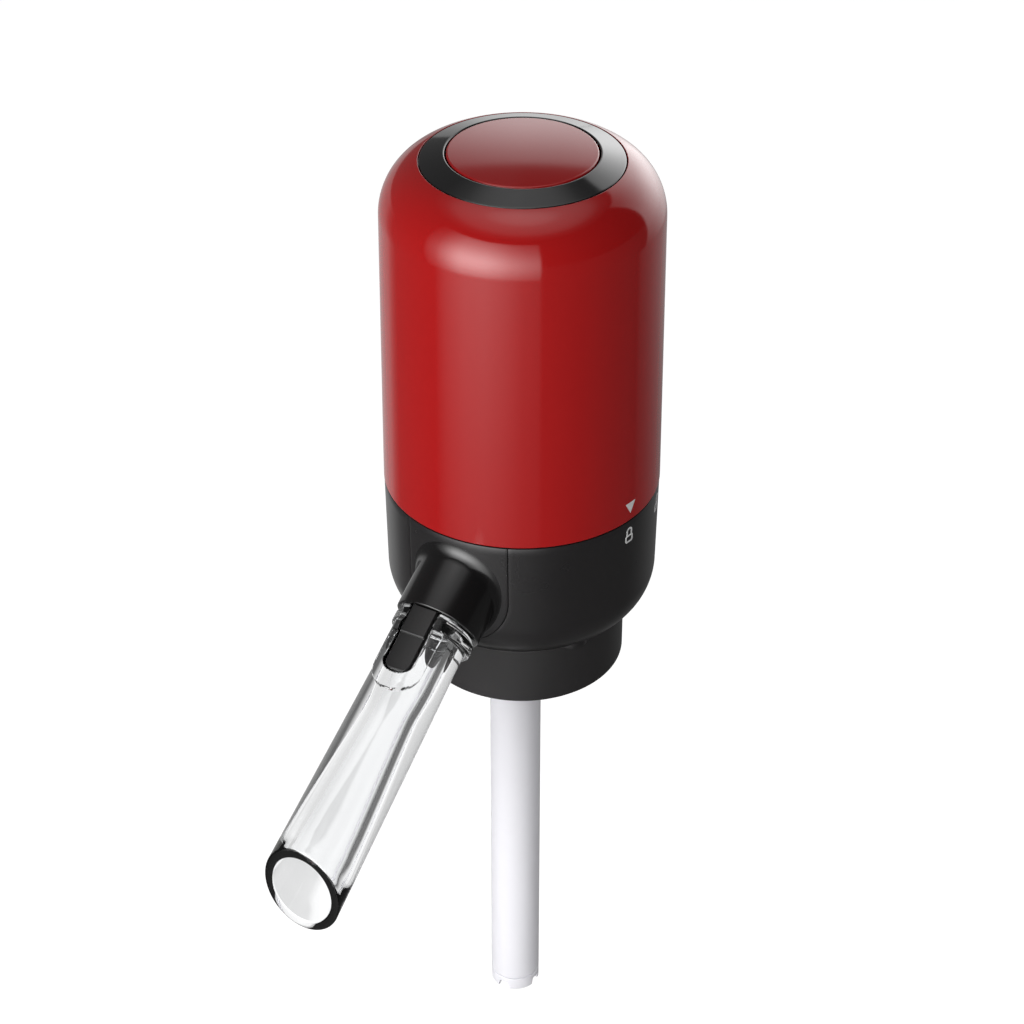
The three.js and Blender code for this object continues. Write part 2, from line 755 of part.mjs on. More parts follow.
// Clear spout with its spigot, flange, raised pad and slanted end
const spoutEnd = (spoutReach + spoutTipRadius) / Math.cos(slope);
const spoutStart = bossMouth + gap;
const flangeStart = spoutStart + spoutGrooveWidth;
const flangeStop = flangeStart + spoutFlangeThickness;
const grooveStart = socketEnd + gap + oRingGrooveInset;
const spoutSkin = alongSpout(
  [
    [0, socketEnd + gap],
    [spigotRadius, socketEnd + gap],
    [spigotRadius, grooveStart],
    [oRingGrooveRadius, grooveStart],
    [oRingGrooveRadius, grooveStart + oRingGrooveWidth],
    [spigotRadius, grooveStart + oRingGrooveWidth],
    [spigotRadius, spoutStart],
    [spoutGrooveRadius, spoutStart],
    [spoutGrooveRadius, flangeStart],
    [spoutFlangeRadius, flangeStart],
    [spoutFlangeRadius, flangeStop],
    [spoutNeckRadius, flangeStop],
    [spoutTipRadius, spoutEnd],
    [0, spoutEnd],
  ],
  spoutSides,
);
function padShape(halfWidth, from, to) {
  const shape = new THREE.Shape();
  shape.moveTo(-halfWidth, from);
  shape.lineTo(halfWidth, from);
  shape.absarc(0, to - halfWidth, halfWidth, 0, Math.PI, false);
  shape.closePath();
  return shape;
}
const padPrism = extruded(
  padShape(padHalfWidth, spoutStart, spoutStart + padLength),
  oRingGrooveRadius,
  padRadius + overrun,
  planFrame,
);
const padDrum = alongSpout(
  [
    [0, spoutStart],
    [padRadius, spoutStart],
    [padRadius, spoutStart + padLength],
    [0, spoutStart + padLength],
  ],
  spoutSides,
);
const spoutBore = alongSpout(
  [
    [0, socketEnd],
    [spoutBoreRadius, socketEnd],
    [spoutBoreRadius, spoutStart],
    [spoutMouthRadius, spoutReach / Math.cos(slope)],
    [spoutMouthRadius, spoutEnd + overrun],
    [0, spoutEnd + overrun],
  ],
  spoutSides,
);
const latchSlot = extruded(
  padShape(latchHalfWidth + gap, spoutStart - overrun, latchTip + gap),
  latchBottom - gap,
  padRadius + overrun,
  planFrame,
);
const tipCut = box(
  [-spoutReach, -spoutReach - spoutEnd, -spoutReach],
  [spoutReach, -spoutReach, spoutReach],
);
const pouringSpout = without(joined(spoutSkin, padPrism.intersect(padDrum)), spoutBore, latchSlot, tipCut);
add("pouring_spout", pouringSpout, "clear");

// Section of a ring of round wire
function wireSection(radius, wire, level) {
  return arc(radius, level, wire, 0, 360, springSides).slice(0, springSides);
}
const oRingLevel = grooveStart + oRingGrooveWidth / 2;
add("spout_o_ring", alongSpout(wireSection(oRingRadius, oRingWire, oRingLevel), spoutSides), "blackMatte");

// Skirt over the bottle's lip, with the flange that carries it under the collar
function skirtShoulder(radius) {
  const side = Math.max(radius - collarRoundCentre, 0);
  return collarRoundLevel - Math.sqrt(collarRounding ** 2 - side ** 2) - gap;
}
const skirtMiddleRadius = (skirtOuterRadius + collarRoundCentre) / 2;
const flangeBottom = gasketThickness + gap;
const bottleSleeve = without(
  turned(
    [
      [stemHeadRadius, flangeBottom],
      [skirtInnerRadius, flangeBottom],
      [skirtInnerRadius, skirtMouthChamfer - skirtDepth],
      [skirtInnerRadius + skirtMouthChamfer, -skirtDepth],
      [skirtOuterRadius, -skirtDepth],
      [skirtOuterRadius, skirtShoulder(skirtOuterRadius)],
      [skirtMiddleRadius, skirtShoulder(skirtMiddleRadius)],
      [collarRoundCentre, skirtShoulder(collarRoundCentre)],
      [stemHeadRadius, skirtShoulder(collarRoundCentre)],
    ],
    bodySides,
  ),
  cylinder(stemHoleRadius, 0, collarFloor, pieceSides, 0, -tubeOffset),
  cylinder(airBoreRadius, 0, collarFloor, smallSides, 0, airLineOffset),
);
add("bottle_sleeve", bottleSleeve, "blackMatte");

add("lip_gasket", tube(gasketInnerRadius, gasketOuterRadius, 0, gasketThickness, pieceSides), "silicone");

// Stopper: a tapered, ribbed plug for the bottle's neck
const ribs = Array.from({ length: stopperRibs }, (_, i) => {
  const low = -stopperRibPitch * (i + 1);
  return turned(
    [
      [0, low - stopperRibHeight],
      [stopperTipRadius, low - stopperRibHeight],
      [stopperRibRadius, low],
      [0, low],
    ],
    pieceSides,
  );
});
const neckStopper = without(
  joined(
    turned(
      [
        [0, -stopperLength],
        [stopperTipRadius, -stopperLength],
        [stopperTopRadius, 0],
        [stopperHeadRadius, 0],
        [stopperHeadRadius, gasketThickness],
        [0, gasketThickness],
      ],
      pieceSides,
    ),
    ...ribs,
  ),
  cylinder(stemHoleRadius, -stopperLength - overrun, gasketThickness + overrun, pieceSides, 0, -tubeOffset),
  cylinder(
    airBoreRadius,
    -stopperLength - overrun,
    gasketThickness + overrun,
    smallSides,
    0,
    airLineOffset,
  ),
);
add("neck_stopper", neckStopper, "silicone");

// Stem: hangs by its head on the collar's floor and holds the dip tube
const stemHeadBottom = collarInnerFloor + gap;
const stemHeadTop = stemHeadBottom + stemHeadHeight;
const tubeFrame = new THREE.Matrix4().makeTranslation(0, -tubeOffset, 0);
add(
  "tube_stem",
  turned(
    [
      [wineBoreRadius, -stemLength],
      [stemRadius, -stemLength],
      [stemRadius, stemHeadBottom],
      [stemHeadRadius, stemHeadBottom],
      [stemHeadRadius, stemHeadTop],
      [stemBarbRadius, stemHeadTop],
      [stemBarbRadius, stemHeadTop + stemBarbHeight],
      [wineBoreRadius, stemHeadTop + stemBarbHeight],
    ],
    pieceSides,
    tubeFrame,
  ),
  "white",
);

// Telescopic dip tube in three stages, the last with a notched foot
function stage(bore, radius, high) {
  return tube(bore, radius, -tubeBottom, high, pieceSides, 0, -tubeOffset);
}
add("outer_dip_tube", stage(outerTubeBore, outerTubeRadius, -tubeTop), "tubing");
add(
  "middle_dip_tube",
  stage(middleTubeBore, middleTubeRadius, -stemLength - stageInset),
  "tubing",
);
const footTop = -tubeBottom - gap;
const footBottom = footTop - footHeight;
const footNotches = [0, 1].map((i) =>
  box(
    [-outerTubeRadius - overrun, -footNotchWidth / 2, footBottom - overrun],
    [outerTubeRadius + overrun, footNotchWidth / 2, footBottom + footNotchHeight],
    tubeFrame.clone().multiply(new THREE.Matrix4().makeRotationZ((i * Math.PI) / 2)),
  ),
);
const innerTube = without(
  turned(
    [
      [innerTubeBore, footBottom],
      [outerTubeRadius, footBottom],
      [outerTubeRadius, footTop],
      [innerTubeRadius, footTop],
      [innerTubeRadius, -stemLength - stageInset - stageInset],
      [innerTubeBore, -stemLength - stageInset - stageInset],
    ],
    pieceSides,
    tubeFrame,
  ),
  ...footNotches,
);
add("inner_dip_tube", innerTube, "tubing");

// Elbow: from the stem up, over and down to the spout's socket
const elbowPath = new THREE.CurvePath();
const elbowFoot = stemHeadTop + gap;
const elbowSocketTop = elbowFoot + elbowSocketLength;
const elbowTurnLevel = spoutAxisLevel - tubeOffset * Math.tan(slope);
const elbowBend = new THREE.QuadraticBezierCurve3(
  new THREE.Vector3(0, -tubeOffset, elbowRise),
  new THREE.Vector3(0, -tubeOffset, elbowTurnLevel),
  spoutPoint(elbowJoin, 0, 0),
);
elbowPath.add(
  new THREE.LineCurve3(new THREE.Vector3(0, -tubeOffset, elbowSocketTop - overrun), elbowBend.v0),
);
elbowPath.add(elbowBend);
elbowPath.add(new THREE.LineCurve3(elbowBend.v2, spoutPoint(elbowEnd, 0, 0)));
const elbowBorePath = new THREE.CurvePath();
elbowBorePath.add(
  new THREE.LineCurve3(new THREE.Vector3(0, -tubeOffset, elbowFoot), elbowBend.v0),
);
elbowBorePath.add(elbowBend);
elbowBorePath.add(new THREE.LineCurve3(elbowBend.v2, spoutPoint(elbowEnd + overrun, 0, 0)));
const elbowSocketBore = stemBarbRadius + gap;
const wineElbow = without(
  joined(
    swept(elbowPath, elbowOuterRadius, elbowSteps, smallSides),
    cylinder(elbowSocketBore + elbowWall, elbowFoot, elbowSocketTop, smallSides, 0, -tubeOffset),
  ),
  swept(elbowBorePath, wineBoreRadius, elbowSteps, smallSides),
  cylinder(
    elbowSocketBore,
    elbowFoot - overrun,
    stemHeadTop + stemBarbHeight + gap,
    pieceSides,
    0,
    -tubeOffset,
  ),
);
add("wine_elbow", wineElbow, "blackMatte");

// Deck: closes the collar, with the twist lock's neck and the air inlet
const grooveFloorRadius = housingInnerBottom - lugReach - lugSpace;
const lugAzimuths = Array.from({ length: lugCount }, (_, i) => lugFirstAzimuth + (360 * i) / lugCount);
const lugTracks = lugAzimuths.flatMap((azimuth) => [
  sector(
    grooveFloorRadius,
    neckOuterRadius + overrun,
    azimuth - lugHalfAngle - lugClearAngle,
    azimuth + twistAngle + lugHalfAngle + lugClearAngle,
    lugBottom - gap,
    lugTop + gap,
  ),
  sector(
    grooveFloorRadius,
    neckOuterRadius + overrun,
    azimuth + twistAngle - lugHalfAngle - lugClearAngle,
    azimuth + twistAngle + lugHalfAngle + lugClearAngle,
    lugBottom - gap,
    neckTop + overrun,
  ),
]);
const cupTop = deckTop + cupHeight;
const bayonetDeck = without(
  joined(
    cylinder(neckOuterRadius, deckBottom, deckTop, bodySides),
    tube(neckInnerRadius, neckOuterRadius, deckBottom, neckTop, bodySides),
    cylinder(cupInnerRadius + cupWall, deckBottom, cupTop, pieceSides),
    box(
      [-galleryHalfWidth, -galleryHalfWidth, galleryBottom],
      [galleryHalfWidth, airLineOffset + galleryHalfWidth, deckTop],
    ),
    cylinder(barbRadius, deckBarbBottom, deckTop, smallSides, 0, airLineOffset),
  ),
  ...lugTracks,
  cylinder(cupInnerRadius, deckTop, cupTop + overrun, pieceSides),
  cylinder(airBoreRadius, deckBottom - galleryDepth / 2, deckTop + overrun, smallSides),
  box(
    [-airBoreRadius, 0, deckBottom - galleryDepth / 2],
    [airBoreRadius, airLineOffset, deckBottom],
  ),
  cylinder(airBoreRadius, deckBarbBottom - overrun, deckBottom, smallSides, 0, airLineOffset),
  ...postAzimuths.map((azimuth) =>
    cylinder(
      screwRadius + gap,
      deckBottom - overrun,
      deckTop + overrun,
      smallSides,
      ...polar(postPitchRadius, azimuth),
    ),
  ),
);
add("bayonet_deck", bayonetDeck, "grey");
add(
  "inlet_seal",
  tube(nippleRadius + gap, cupInnerRadius - gap, deckTop + gap, cupTop, smallSides),
  "silicone",
);

// Screws with a cross recess are left plain
function screw(x, y, seat, up) {
  const head = up > 0 ? [seat, seat + screwHeadHeight] : [seat - screwHeadHeight, seat];
  const shank = up > 0 ? [seat - screwLength + gap, seat + gap] : [seat - gap, seat + screwLength - gap];
  return joined(
    cylinder(screwHeadRadius, ...head, smallSides, x, y),
    cylinder(screwRadius, ...shank, smallSides, x, y),
  );
}
postAzimuths.forEach((azimuth, i) =>
  add(
    `deck_screw_${i + 1}`,
    screw(...polar(postPitchRadius, azimuth), deckTop + gap, 1),
    "steel",
  ),
);

// Air line: hose, check valve and hose between the deck's barb and the floor's barb
const airFrame = [0, airLineOffset];
const checkValve = without(
  joined(
    cylinder(valveRadius, valveLevel, valveTop, pieceSides, ...airFrame),
    cylinder(barbRadius, valveLevel - barbLength, valveTop + barbLength, smallSides, ...airFrame),
  ),
  cylinder(
    airBoreRadius,
    valveLevel - barbLength - overrun,
    valveTop + barbLength + overrun,
    smallSides,
    ...airFrame,
  ),
);
add("check_valve", checkValve, "white");
function hose(low, high) {
  return tube(hoseInner, hoseOuter, low + gap, high - gap, smallSides, ...airFrame);
}
add("upper_air_hose", hose(valveTop, galleryBottom), "silicone");
add("lower_air_hose", hose(collarInnerFloor, valveLevel), "silicone");

// Housing: a drawn cup with a rounded shoulder, a seat for the ring, lugs and screw bosses
const ringHoleRadius = ringOuterRadius + ringGroove;
const ringHoleAngle = THREE.MathUtils.radToDeg(
  Math.acos((ringHoleRadius - shoulderCentreRadius) / shoulderRadius),
);
const ringEdgeLevel =
  shoulderLevel + Math.sqrt(shoulderRadius ** 2 - (ringHoleRadius - shoulderCentreRadius) ** 2);
const ringSeatLevel = ringEdgeLevel - ringDepth;
const ringSeatRadius = ringOuterRadius - ringSeatWidth;
const ringSeatUnder = ringSeatLevel - ringSeatThickness;
const innerShoulder = shoulderRadius - housingWall;
const innerShoulderAngle = THREE.MathUtils.radToDeg(
  Math.asin((ringSeatUnder - shoulderLevel) / innerShoulder),
);
const housingShell = turned(
  [
    [housingInnerBottom, housingBottom],
    [housingBottomRadius, housingBottom],
    ...arc(shoulderCentreRadius, shoulderLevel, shoulderRadius, 0, ringHoleAngle, filletSteps + 3),
    [ringHoleRadius, ringSeatLevel],
    [ringSeatRadius, ringSeatLevel],
    [ringSeatRadius, ringSeatUnder],
    ...arc(shoulderCentreRadius, shoulderLevel, innerShoulder, innerShoulderAngle, 0, filletSteps / 2),
  ],
  bodySides,
);
const lugs = lugAzimuths.map((azimuth) =>
  sector(
    housingInnerBottom - lugReach,
    housingInnerBottom + housingWall / 2,
    azimuth - lugHalfAngle,
    azimuth + lugHalfAngle,
    lugBottom,
    lugTop,
  ),
);
const housingBossBottom = chassisTop + gap;
const housingBossTop = housingBossBottom + housingBossHeight;
const housingBosses = lugAzimuths.map((azimuth) =>
  joined(
    cylinder(
      housingBossRadius,
      housingBossBottom,
      housingBossTop,
      smallSides,
      ...polar(housingBossPitchRadius, azimuth),
    ),
    box(
      [housingBossPitchRadius, -housingBossRadius / 2, housingBossBottom],
      [housingInnerBottom + housingWall / 2, housingBossRadius / 2, housingBossTop],
      new THREE.Matrix4().makeRotationZ(radians(azimuth)),
    ),
  ),
);
const housingBossHoles = lugAzimuths.map((azimuth) =>
  cylinder(
    screwRadius + gap,
    housingBossBottom - overrun,
    housingBossTop - overrun,
    smallSides,
    ...polar(housingBossPitchRadius, azimuth),
  ),
);
add("upper_housing", without(joined(housingShell, ...lugs, ...housingBosses), ...housingBossHoles), "red");

// Trim ring, with the sleeve that guides the button
const ringLevel = ringEdgeLevel;
const guideBottom = ringLevel - guideDepth;
add(
  "top_trim_ring",
  turned(
    [
      [ringOuterRadius, ringSeatLevel + gap],
      [ringOuterRadius, ringLevel - ringChamfer],
      [ringOuterRadius - ringChamfer, ringLevel],
      [ringInnerRadius + ringChamfer, ringLevel + ringRise],
      [ringInnerRadius, ringLevel + ringRise - ringChamfer],
      [ringInnerRadius, guideBottom],
      [ringInnerRadius + guideWall, guideBottom],
      [ringInnerRadius + guideWall, ringSeatLevel + gap],
    ],
    bodySides,
  ),
  "blackGloss",
);

// Button: a domed cap with a skirt, a catch lip and a stem on the switch
const buttonTop = ringLevel + buttonProud;
const buttonUnder = buttonTop - buttonRoof;
const buttonLipTop = guideBottom - gap;
const buttonLipBottom = buttonLipTop - buttonLipHeight;
const buttonInner = buttonRadius - buttonWall;
add(
  "power_button",
  turned(
    [
      [0, plungerTop + gap],
      [buttonStemRadius, plungerTop + gap],
      [buttonStemRadius, buttonUnder],
      [buttonInner, buttonUnder],
      [buttonInner, buttonLipBottom],
      [buttonRadius + buttonLipWidth, buttonLipBottom],
      [buttonRadius + buttonLipWidth, buttonLipTop],
      [buttonRadius, buttonLipTop],
      [buttonRadius, buttonTop - buttonEdge],
      [buttonRadius - buttonEdge, buttonTop],
      [buttonRadius / 2, buttonTop + (3 * buttonDome) / 4],
      [0, buttonTop + buttonDome],
    ],
    bodySides,
  ),
  "red",
);

// Chassis: closes the housing from below and carries the pump, the motor and the cells
const cellAzimuths = Array.from({ length: cellCount }, (_, i) => (360 * i) / cellCount);
const cradles = cellAzimuths.map((azimuth) =>
  tube(
    cellRadius + gap,
    cellRadius + gap + cradleWall,
    chassisBottom,
    chassisTop + cradleHeight,
    smallSides,
    ...polar(cellPitchRadius, azimuth),
  ),
);
const cradleCut = tube(
  chassisRadius,
  chassisRadius + cellRadius,
  chassisBottom - overrun,
  chassisTop + cradleHeight + overrun,
  pieceSides,
);

// A contact strip under or over two neighbouring cells
function contactStrip(from, low, high, width) {
  const ends = [from, from + 360 / cellCount].map((azimuth) => polar(cellPitchRadius, azimuth));
  const heading = Math.atan2(ends[1][1] - ends[0][1], ends[1][0] - ends[0][0]);
  const shape = new THREE.Shape();
  shape.absarc(...ends[1], width, heading - Math.PI / 2, heading + Math.PI / 2, false);
  shape.absarc(...ends[0], width, heading + Math.PI / 2, heading + (3 * Math.PI) / 2, false);
  shape.closePath();
  return extruded(shape, low, high, undefined, smallSides / 2);
}
const ties = tieAzimuths.map((azimuth) =>
  cylinder(tieRadius, chassisBottom, capBottom - gap, smallSides, ...polar(tiePitchRadius, azimuth)),
);
const pairStart = (i) => (360 * i) / (cellCount / 2);
const pairCount = cellCount / 2;
const lowerPairs = Array.from({ length: pairCount }, (_, i) => pairStart(i) + 360 / cellCount);
const upperPairs = Array.from({ length: pairCount }, (_, i) => pairStart(i));
const pumpChassis = without(
  joined(
    cylinder(chassisRadius, chassisBottom, chassisTop, pieceSides),
    ...cradles.map((cradle) => cradle.subtract(cradleCut)),
    ...ties,
  ),
  cylinder(nippleRadius + gap, chassisBottom - overrun, chassisTop + overrun, smallSides),
  ...lowerPairs.map((from) =>
    contactStrip(from, chassisTop, chassisTop + contactThickness + gap + gap, contactHalfWidth + gap),
  ),
  ...lugAzimuths.map((azimuth) =>
    cylinder(
      housingBossRadius + gap,
      chassisTop,
      chassisTop + cradleHeight + overrun,
      smallSides,
      ...polar(housingBossPitchRadius, azimuth),
    ),
  ),
  ...lugAzimuths.map((azimuth) =>
    cylinder(
      screwRadius + gap,
      chassisBottom - overrun,
      chassisTop + overrun,
      smallSides,
      ...polar(housingBossPitchRadius, azimuth),
    ),
  ),
  ...lugAzimuths.map((azimuth) =>
    cylinder(
      screwHeadRadius + gap,
      chassisBottom - overrun,
      chassisBottom + screwHeadHeight,
      smallSides,
      ...polar(housingBossPitchRadius, azimuth),
    ),
  ),
);
add("pump_chassis", pumpChassis, "grey");
lugAzimuths.forEach((azimuth, i) =>
  add(
    `chassis_screw_${i + 1}`,
    screw(...polar(housingBossPitchRadius, azimuth), chassisBottom + screwHeadHeight - gap, -1),
    "steel",
  ),
);
lowerPairs.forEach((from, i) =>
  add(
    `lower_contact_${i + 1}`,
    contactStrip(from, chassisTop + gap, chassisTop + gap + contactThickness, contactHalfWidth),
    "steel",
  ),
);
upperPairs.forEach((from, i) =>
  add(
    `upper_contact_${i + 1}`,
    contactStrip(from, cellsTop + gap, cellsTop + gap + contactThickness, contactHalfWidth),
    "steel",
  ),
);

// Cells, every second one upside down
cellAzimuths.forEach((azimuth, i) => {
  const frame = new THREE.Matrix4().makeTranslation(...polar(cellPitchRadius, azimuth), cellsBottom);
  if (i % 2) {
    frame.multiply(new THREE.Matrix4().makeTranslation(0, 0, cellLength));
    frame.multiply(new THREE.Matrix4().makeRotationX(Math.PI));
  }
  const profile = [
    [0, 0],
    [cellRadius, 0],
    [cellRadius, cellLength - cellNubHeight],
    [cellNubRadius, cellLength - cellNubHeight],
    [cellNubRadius, cellLength],
    [0, cellLength],
  ];
  add(`battery_cell_${i + 1}`, turned(profile, smallSides, frame), "cell");
});

// Pump: cover with the nipple, valve plate, diaphragm, rocker and bracket
const nippleBottom = deckTop + gap + gap;
const cupAzimuths = Array.from({ length: diaphragmCups }, (_, i) => 90 + (360 * i) / diaphragmCups);
const pumpCover = without(
  joined(
    cylinder(pumpRadius, coverBottom, coverTop, pieceSides),
    cylinder(nippleRadius, nippleBottom, coverTop, smallSides),
  ),
  cylinder(cupRadius, coverTop - pumpCoverHeight / 2, coverTop + overrun, smallSides),
  cylinder(airBoreRadius, nippleBottom - overrun, coverTop + overrun, smallSides),
);
add("pump_cover", pumpCover, "white");
function plateHole(radius, place) {
  return cylinder(radius, plateBottom - overrun, plateTop + overrun, smallSides, ...place);
}
const valvePlate = without(
  cylinder(pumpRadius, plateBottom, plateTop, pieceSides),
  ...cupAzimuths.map((azimuth) => plateHole(airBoreRadius, polar(cupPitchRadius, azimuth))),
  ...cupAzimuths.map((azimuth) => plateHole(airBoreRadius / 2, polar(cupPitchRadius / 2, azimuth))),
);
add("valve_plate", valvePlate, "white");
const cupTopLevel = skinTop + cupRise;
const diaphragm = without(
  joined(
    cylinder(pumpRadius, skinBottom, skinTop, pieceSides),
    ...cupAzimuths.map((azimuth) =>
      cylinder(cupRadius, skinBottom, cupTopLevel, smallSides, ...polar(cupPitchRadius, azimuth)),
    ),
  ),
  ...cupAzimuths.map((azimuth) =>
    cylinder(
      cupRadius - diaphragmThickness / 2,
      skinBottom - overrun,
      cupTopLevel - diaphragmThickness,
      smallSides,
      ...polar(cupPitchRadius, azimuth),
    ),
  ),
);
add("pump_diaphragm", diaphragm, "blackMatte");
const rockerBottom = cupTopLevel + gap;
const rockerTop = rockerBottom + rockerThickness;
const rockerArms = cupAzimuths.map((azimuth) =>
  box(
    [0, -rockerArmWidth / 2, rockerBottom],
    [cupPitchRadius + rockerArmWidth / 2, rockerArmWidth / 2, rockerTop],
    new THREE.Matrix4().makeRotationZ(radians(azimuth)),
  ),
);
const crankBottom = rockerTop + gap + gap;
const crankTop = crankBottom + crankThickness;
const pinBottom = rockerBottom + rockerThickness / 2;
const pinSlant = tiltPinOffset / (crankTop - pinBottom);
const rockerSocketRadius = (rockerTop - pinBottom) * pinSlant + tiltPinRadius + tiltPinSpace;
const rocker = without(
  joined(cylinder(rockerHubRadius, rockerBottom, rockerTop, pieceSides), ...rockerArms),
  cylinder(rockerSocketRadius, pinBottom - gap, rockerTop + overrun, smallSides),
);
add("pump_rocker", rocker, "white");

// The slanted pin leans from the rocker's middle to the crank disc.
const pinLow = new THREE.Vector3(0, 0, pinBottom);
const pinHigh = new THREE.Vector3(tiltPinOffset, 0, crankTop);
const pinLine = new THREE.LineCurve3(pinLow, pinHigh);
add("tilt_pin", swept(pinLine, tiltPinRadius, 1, springSides), "steel");
const noseBottom = bracketTop + gap - motorNoseHeight;
const shaftBottom = crankBottom + crankThickness / 2;
const crankPinHole = swept(
  new THREE.LineCurve3(pinLow, pinHigh.clone().addScaledVector(pinHigh.clone().sub(pinLow), 1 / 2)),
  tiltPinRadius + gap,
  1,
  springSides,
);
const crankDisc = without(
  cylinder(crankRadius, crankBottom, crankTop, pieceSides),
  crankPinHole,
  cylinder(
    motorShaftRadius + shaftHoleClearance,
    shaftBottom - shaftHoleClearance,
    crankTop + overrun,
    smallSides,
  ),
);
add("crank_disc", crankDisc, "white");

const windows = [0, 1].map((i) =>
  box(
    [-pumpRadius - overrun, -bracketWindowWidth / 2, rockerBottom],
    [pumpRadius + overrun, bracketWindowWidth / 2, bracketTop - bracketRoof - gap],
    new THREE.Matrix4().makeRotationZ((i * Math.PI) / 2),
  ),
);
const pumpBracket = without(
  cylinder(pumpRadius, bracketBottom, bracketTop, pieceSides),
  cylinder(pumpRadius - bracketWall, bracketBottom - overrun, bracketTop - bracketRoof, pieceSides),
  cylinder(motorNoseRadius + gap, bracketBottom, bracketTop + overrun, pieceSides),
  ...windows,
);
add("pump_bracket", pumpBracket, "white");

// Motor: can with its nose, magnets, armature on the shaft and end cap
const shaftTop = canTop + endCapHeight / 2;
const shaftHoleRadius = motorShaftRadius + shaftHoleClearance;
const motorCan = without(
  joined(
    cylinder(motorRadius, canBottom, canTop, pieceSides),
    cylinder(motorNoseRadius, noseBottom, canBottom + motorWall, pieceSides),
  ),
  cylinder(motorRadius - motorWall, canBottom + motorWall, canTop + overrun, pieceSides),
  cylinder(shaftHoleRadius, noseBottom - overrun, canBottom + motorWall + overrun, smallSides),
);
add("motor_can", motorCan, "steel");
add("motor_shaft", cylinder(motorShaftRadius, shaftBottom, shaftTop, smallSides), "steel");
const magnetBottom = canBottom + motorWall + gap;
[0, 180].forEach((azimuth, i) =>
  add(
    `motor_magnet_${i + 1}`,
    sector(
      magnetInner,
      magnetOuter,
      azimuth - magnetHalfAngle,
      azimuth + magnetHalfAngle,
      magnetBottom,
      magnetBottom + magnetLength,
    ),
    "grey",
  ),
);
const coreBottom = magnetBottom + (magnetLength - armatureLength) / 2;
const slots = Array.from({ length: armaturePoles }, (_, i) =>
  box(
    [armatureRadius / 2, -slotWidth / 2, coreBottom - overrun],
    [armatureRadius + overrun, slotWidth / 2, coreBottom + armatureLength + overrun],
    new THREE.Matrix4().makeRotationZ((2 * Math.PI * i) / armaturePoles),
  ),
);
const armature = without(
  joined(
    cylinder(armatureRadius, coreBottom, coreBottom + armatureLength, pieceSides),
    cylinder(armatureRadius / 3, coreBottom, canTop - endCapHeight / 2, smallSides),
  ),
  ...slots,
  cylinder(shaftHoleRadius, coreBottom - overrun, canTop + overrun, smallSides),
);
add("armature", armature, "copper");
const endCapBottom = canTop - endCapHeight / 2 + gap + gap;
const endCap = without(
  joined(
    cylinder(motorRadius, canTop + gap, canTop + gap + endCapHeight / 2, pieceSides),
    cylinder(motorRadius - motorWall - gap, endCapBottom, canTop + endCapHeight / 2, pieceSides),
  ),
  cylinder(shaftHoleRadius, canTop - endCapHeight, shaftTop + gap, smallSides),
);
add("motor_end_cap", endCap, "blackMatte");

// Cap over the cells, held on the chassis's columns, with stands for the switch board
const standAzimuths = tieAzimuths;
const batteryCap = without(
  joined(
    cylinder(capRadius, capBottom, capTop, pieceSides),
    ...standAzimuths.map((azimuth) =>
      cylinder(
        boardStandRadius,
        capBottom,
        capTop + boardStand,
        smallSides,
        ...polar(boardStandPitchRadius, azimuth),
      ),
    ),
  ),
  cylinder(motorRadius + gap, capBottom - overrun, capBottom + gap, pieceSides),
);
add("battery_cap", batteryCap, "grey");

// Switch board, switch, plunger and return spring
add("switch_board", cylinder(boardRadius, boardBottom, boardTop, pieceSides), "board");
const switchHoleBottom = plungerBottom - buttonTravel - gap;
const switchBody = without(
  box([-switchWidth / 2, -switchWidth / 2, switchBottom], [switchWidth / 2, switchWidth / 2, switchTop]),
  cylinder(plungerRadius + gap, switchHoleBottom, switchTop + overrun, smallSides),
);
add("switch_body", switchBody, "blackMatte");
add("switch_plunger", cylinder(plungerRadius, plungerBottom, plungerTop, smallSides), "white");

class Coil extends THREE.Curve {
  getPoint(share, target = new THREE.Vector3()) {
    const turn = 2 * Math.PI * springTurns * share;
    const low = boardTop + gap + springWire;
    const high = buttonUnder - gap - springWire;
    const level = low + (high - low) * share;
    return target.set(springRadius * Math.cos(turn), springRadius * Math.sin(turn), level);
  }
}
add(
  "button_spring",
  swept(new Coil(), springWire, springTurns * springStepsPerTurn, springSides),
  "steel",
);

export default part;
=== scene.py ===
import bmesh
import bpy
import numpy as np
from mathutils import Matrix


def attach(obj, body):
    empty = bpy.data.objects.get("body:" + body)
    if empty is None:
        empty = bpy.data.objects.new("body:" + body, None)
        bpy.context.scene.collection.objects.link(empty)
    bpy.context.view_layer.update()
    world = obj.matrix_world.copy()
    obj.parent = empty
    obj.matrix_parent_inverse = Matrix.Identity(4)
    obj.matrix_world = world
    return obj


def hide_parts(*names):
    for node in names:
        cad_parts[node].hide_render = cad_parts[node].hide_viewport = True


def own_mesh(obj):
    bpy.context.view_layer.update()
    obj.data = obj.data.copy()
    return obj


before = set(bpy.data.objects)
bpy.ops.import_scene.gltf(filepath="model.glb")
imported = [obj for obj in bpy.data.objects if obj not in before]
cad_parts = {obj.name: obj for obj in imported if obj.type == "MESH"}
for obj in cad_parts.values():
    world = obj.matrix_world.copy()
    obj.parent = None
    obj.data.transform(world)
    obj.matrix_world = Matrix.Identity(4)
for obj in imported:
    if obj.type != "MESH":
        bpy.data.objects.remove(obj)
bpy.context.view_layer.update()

# Camera: stands 0.49 m from the decanter and 0.36 m up, 30 degrees to the right of the spout, and
# looks down on it. Its lens is a short telephoto, about 93 mm on a 36 mm sensor.
camera_turn = 29.608


def stand(name, data):
    """A new object with that data, put into the scene."""
    made = bpy.data.objects.new(name, data)
    bpy.context.scene.collection.objects.link(made)
    return made


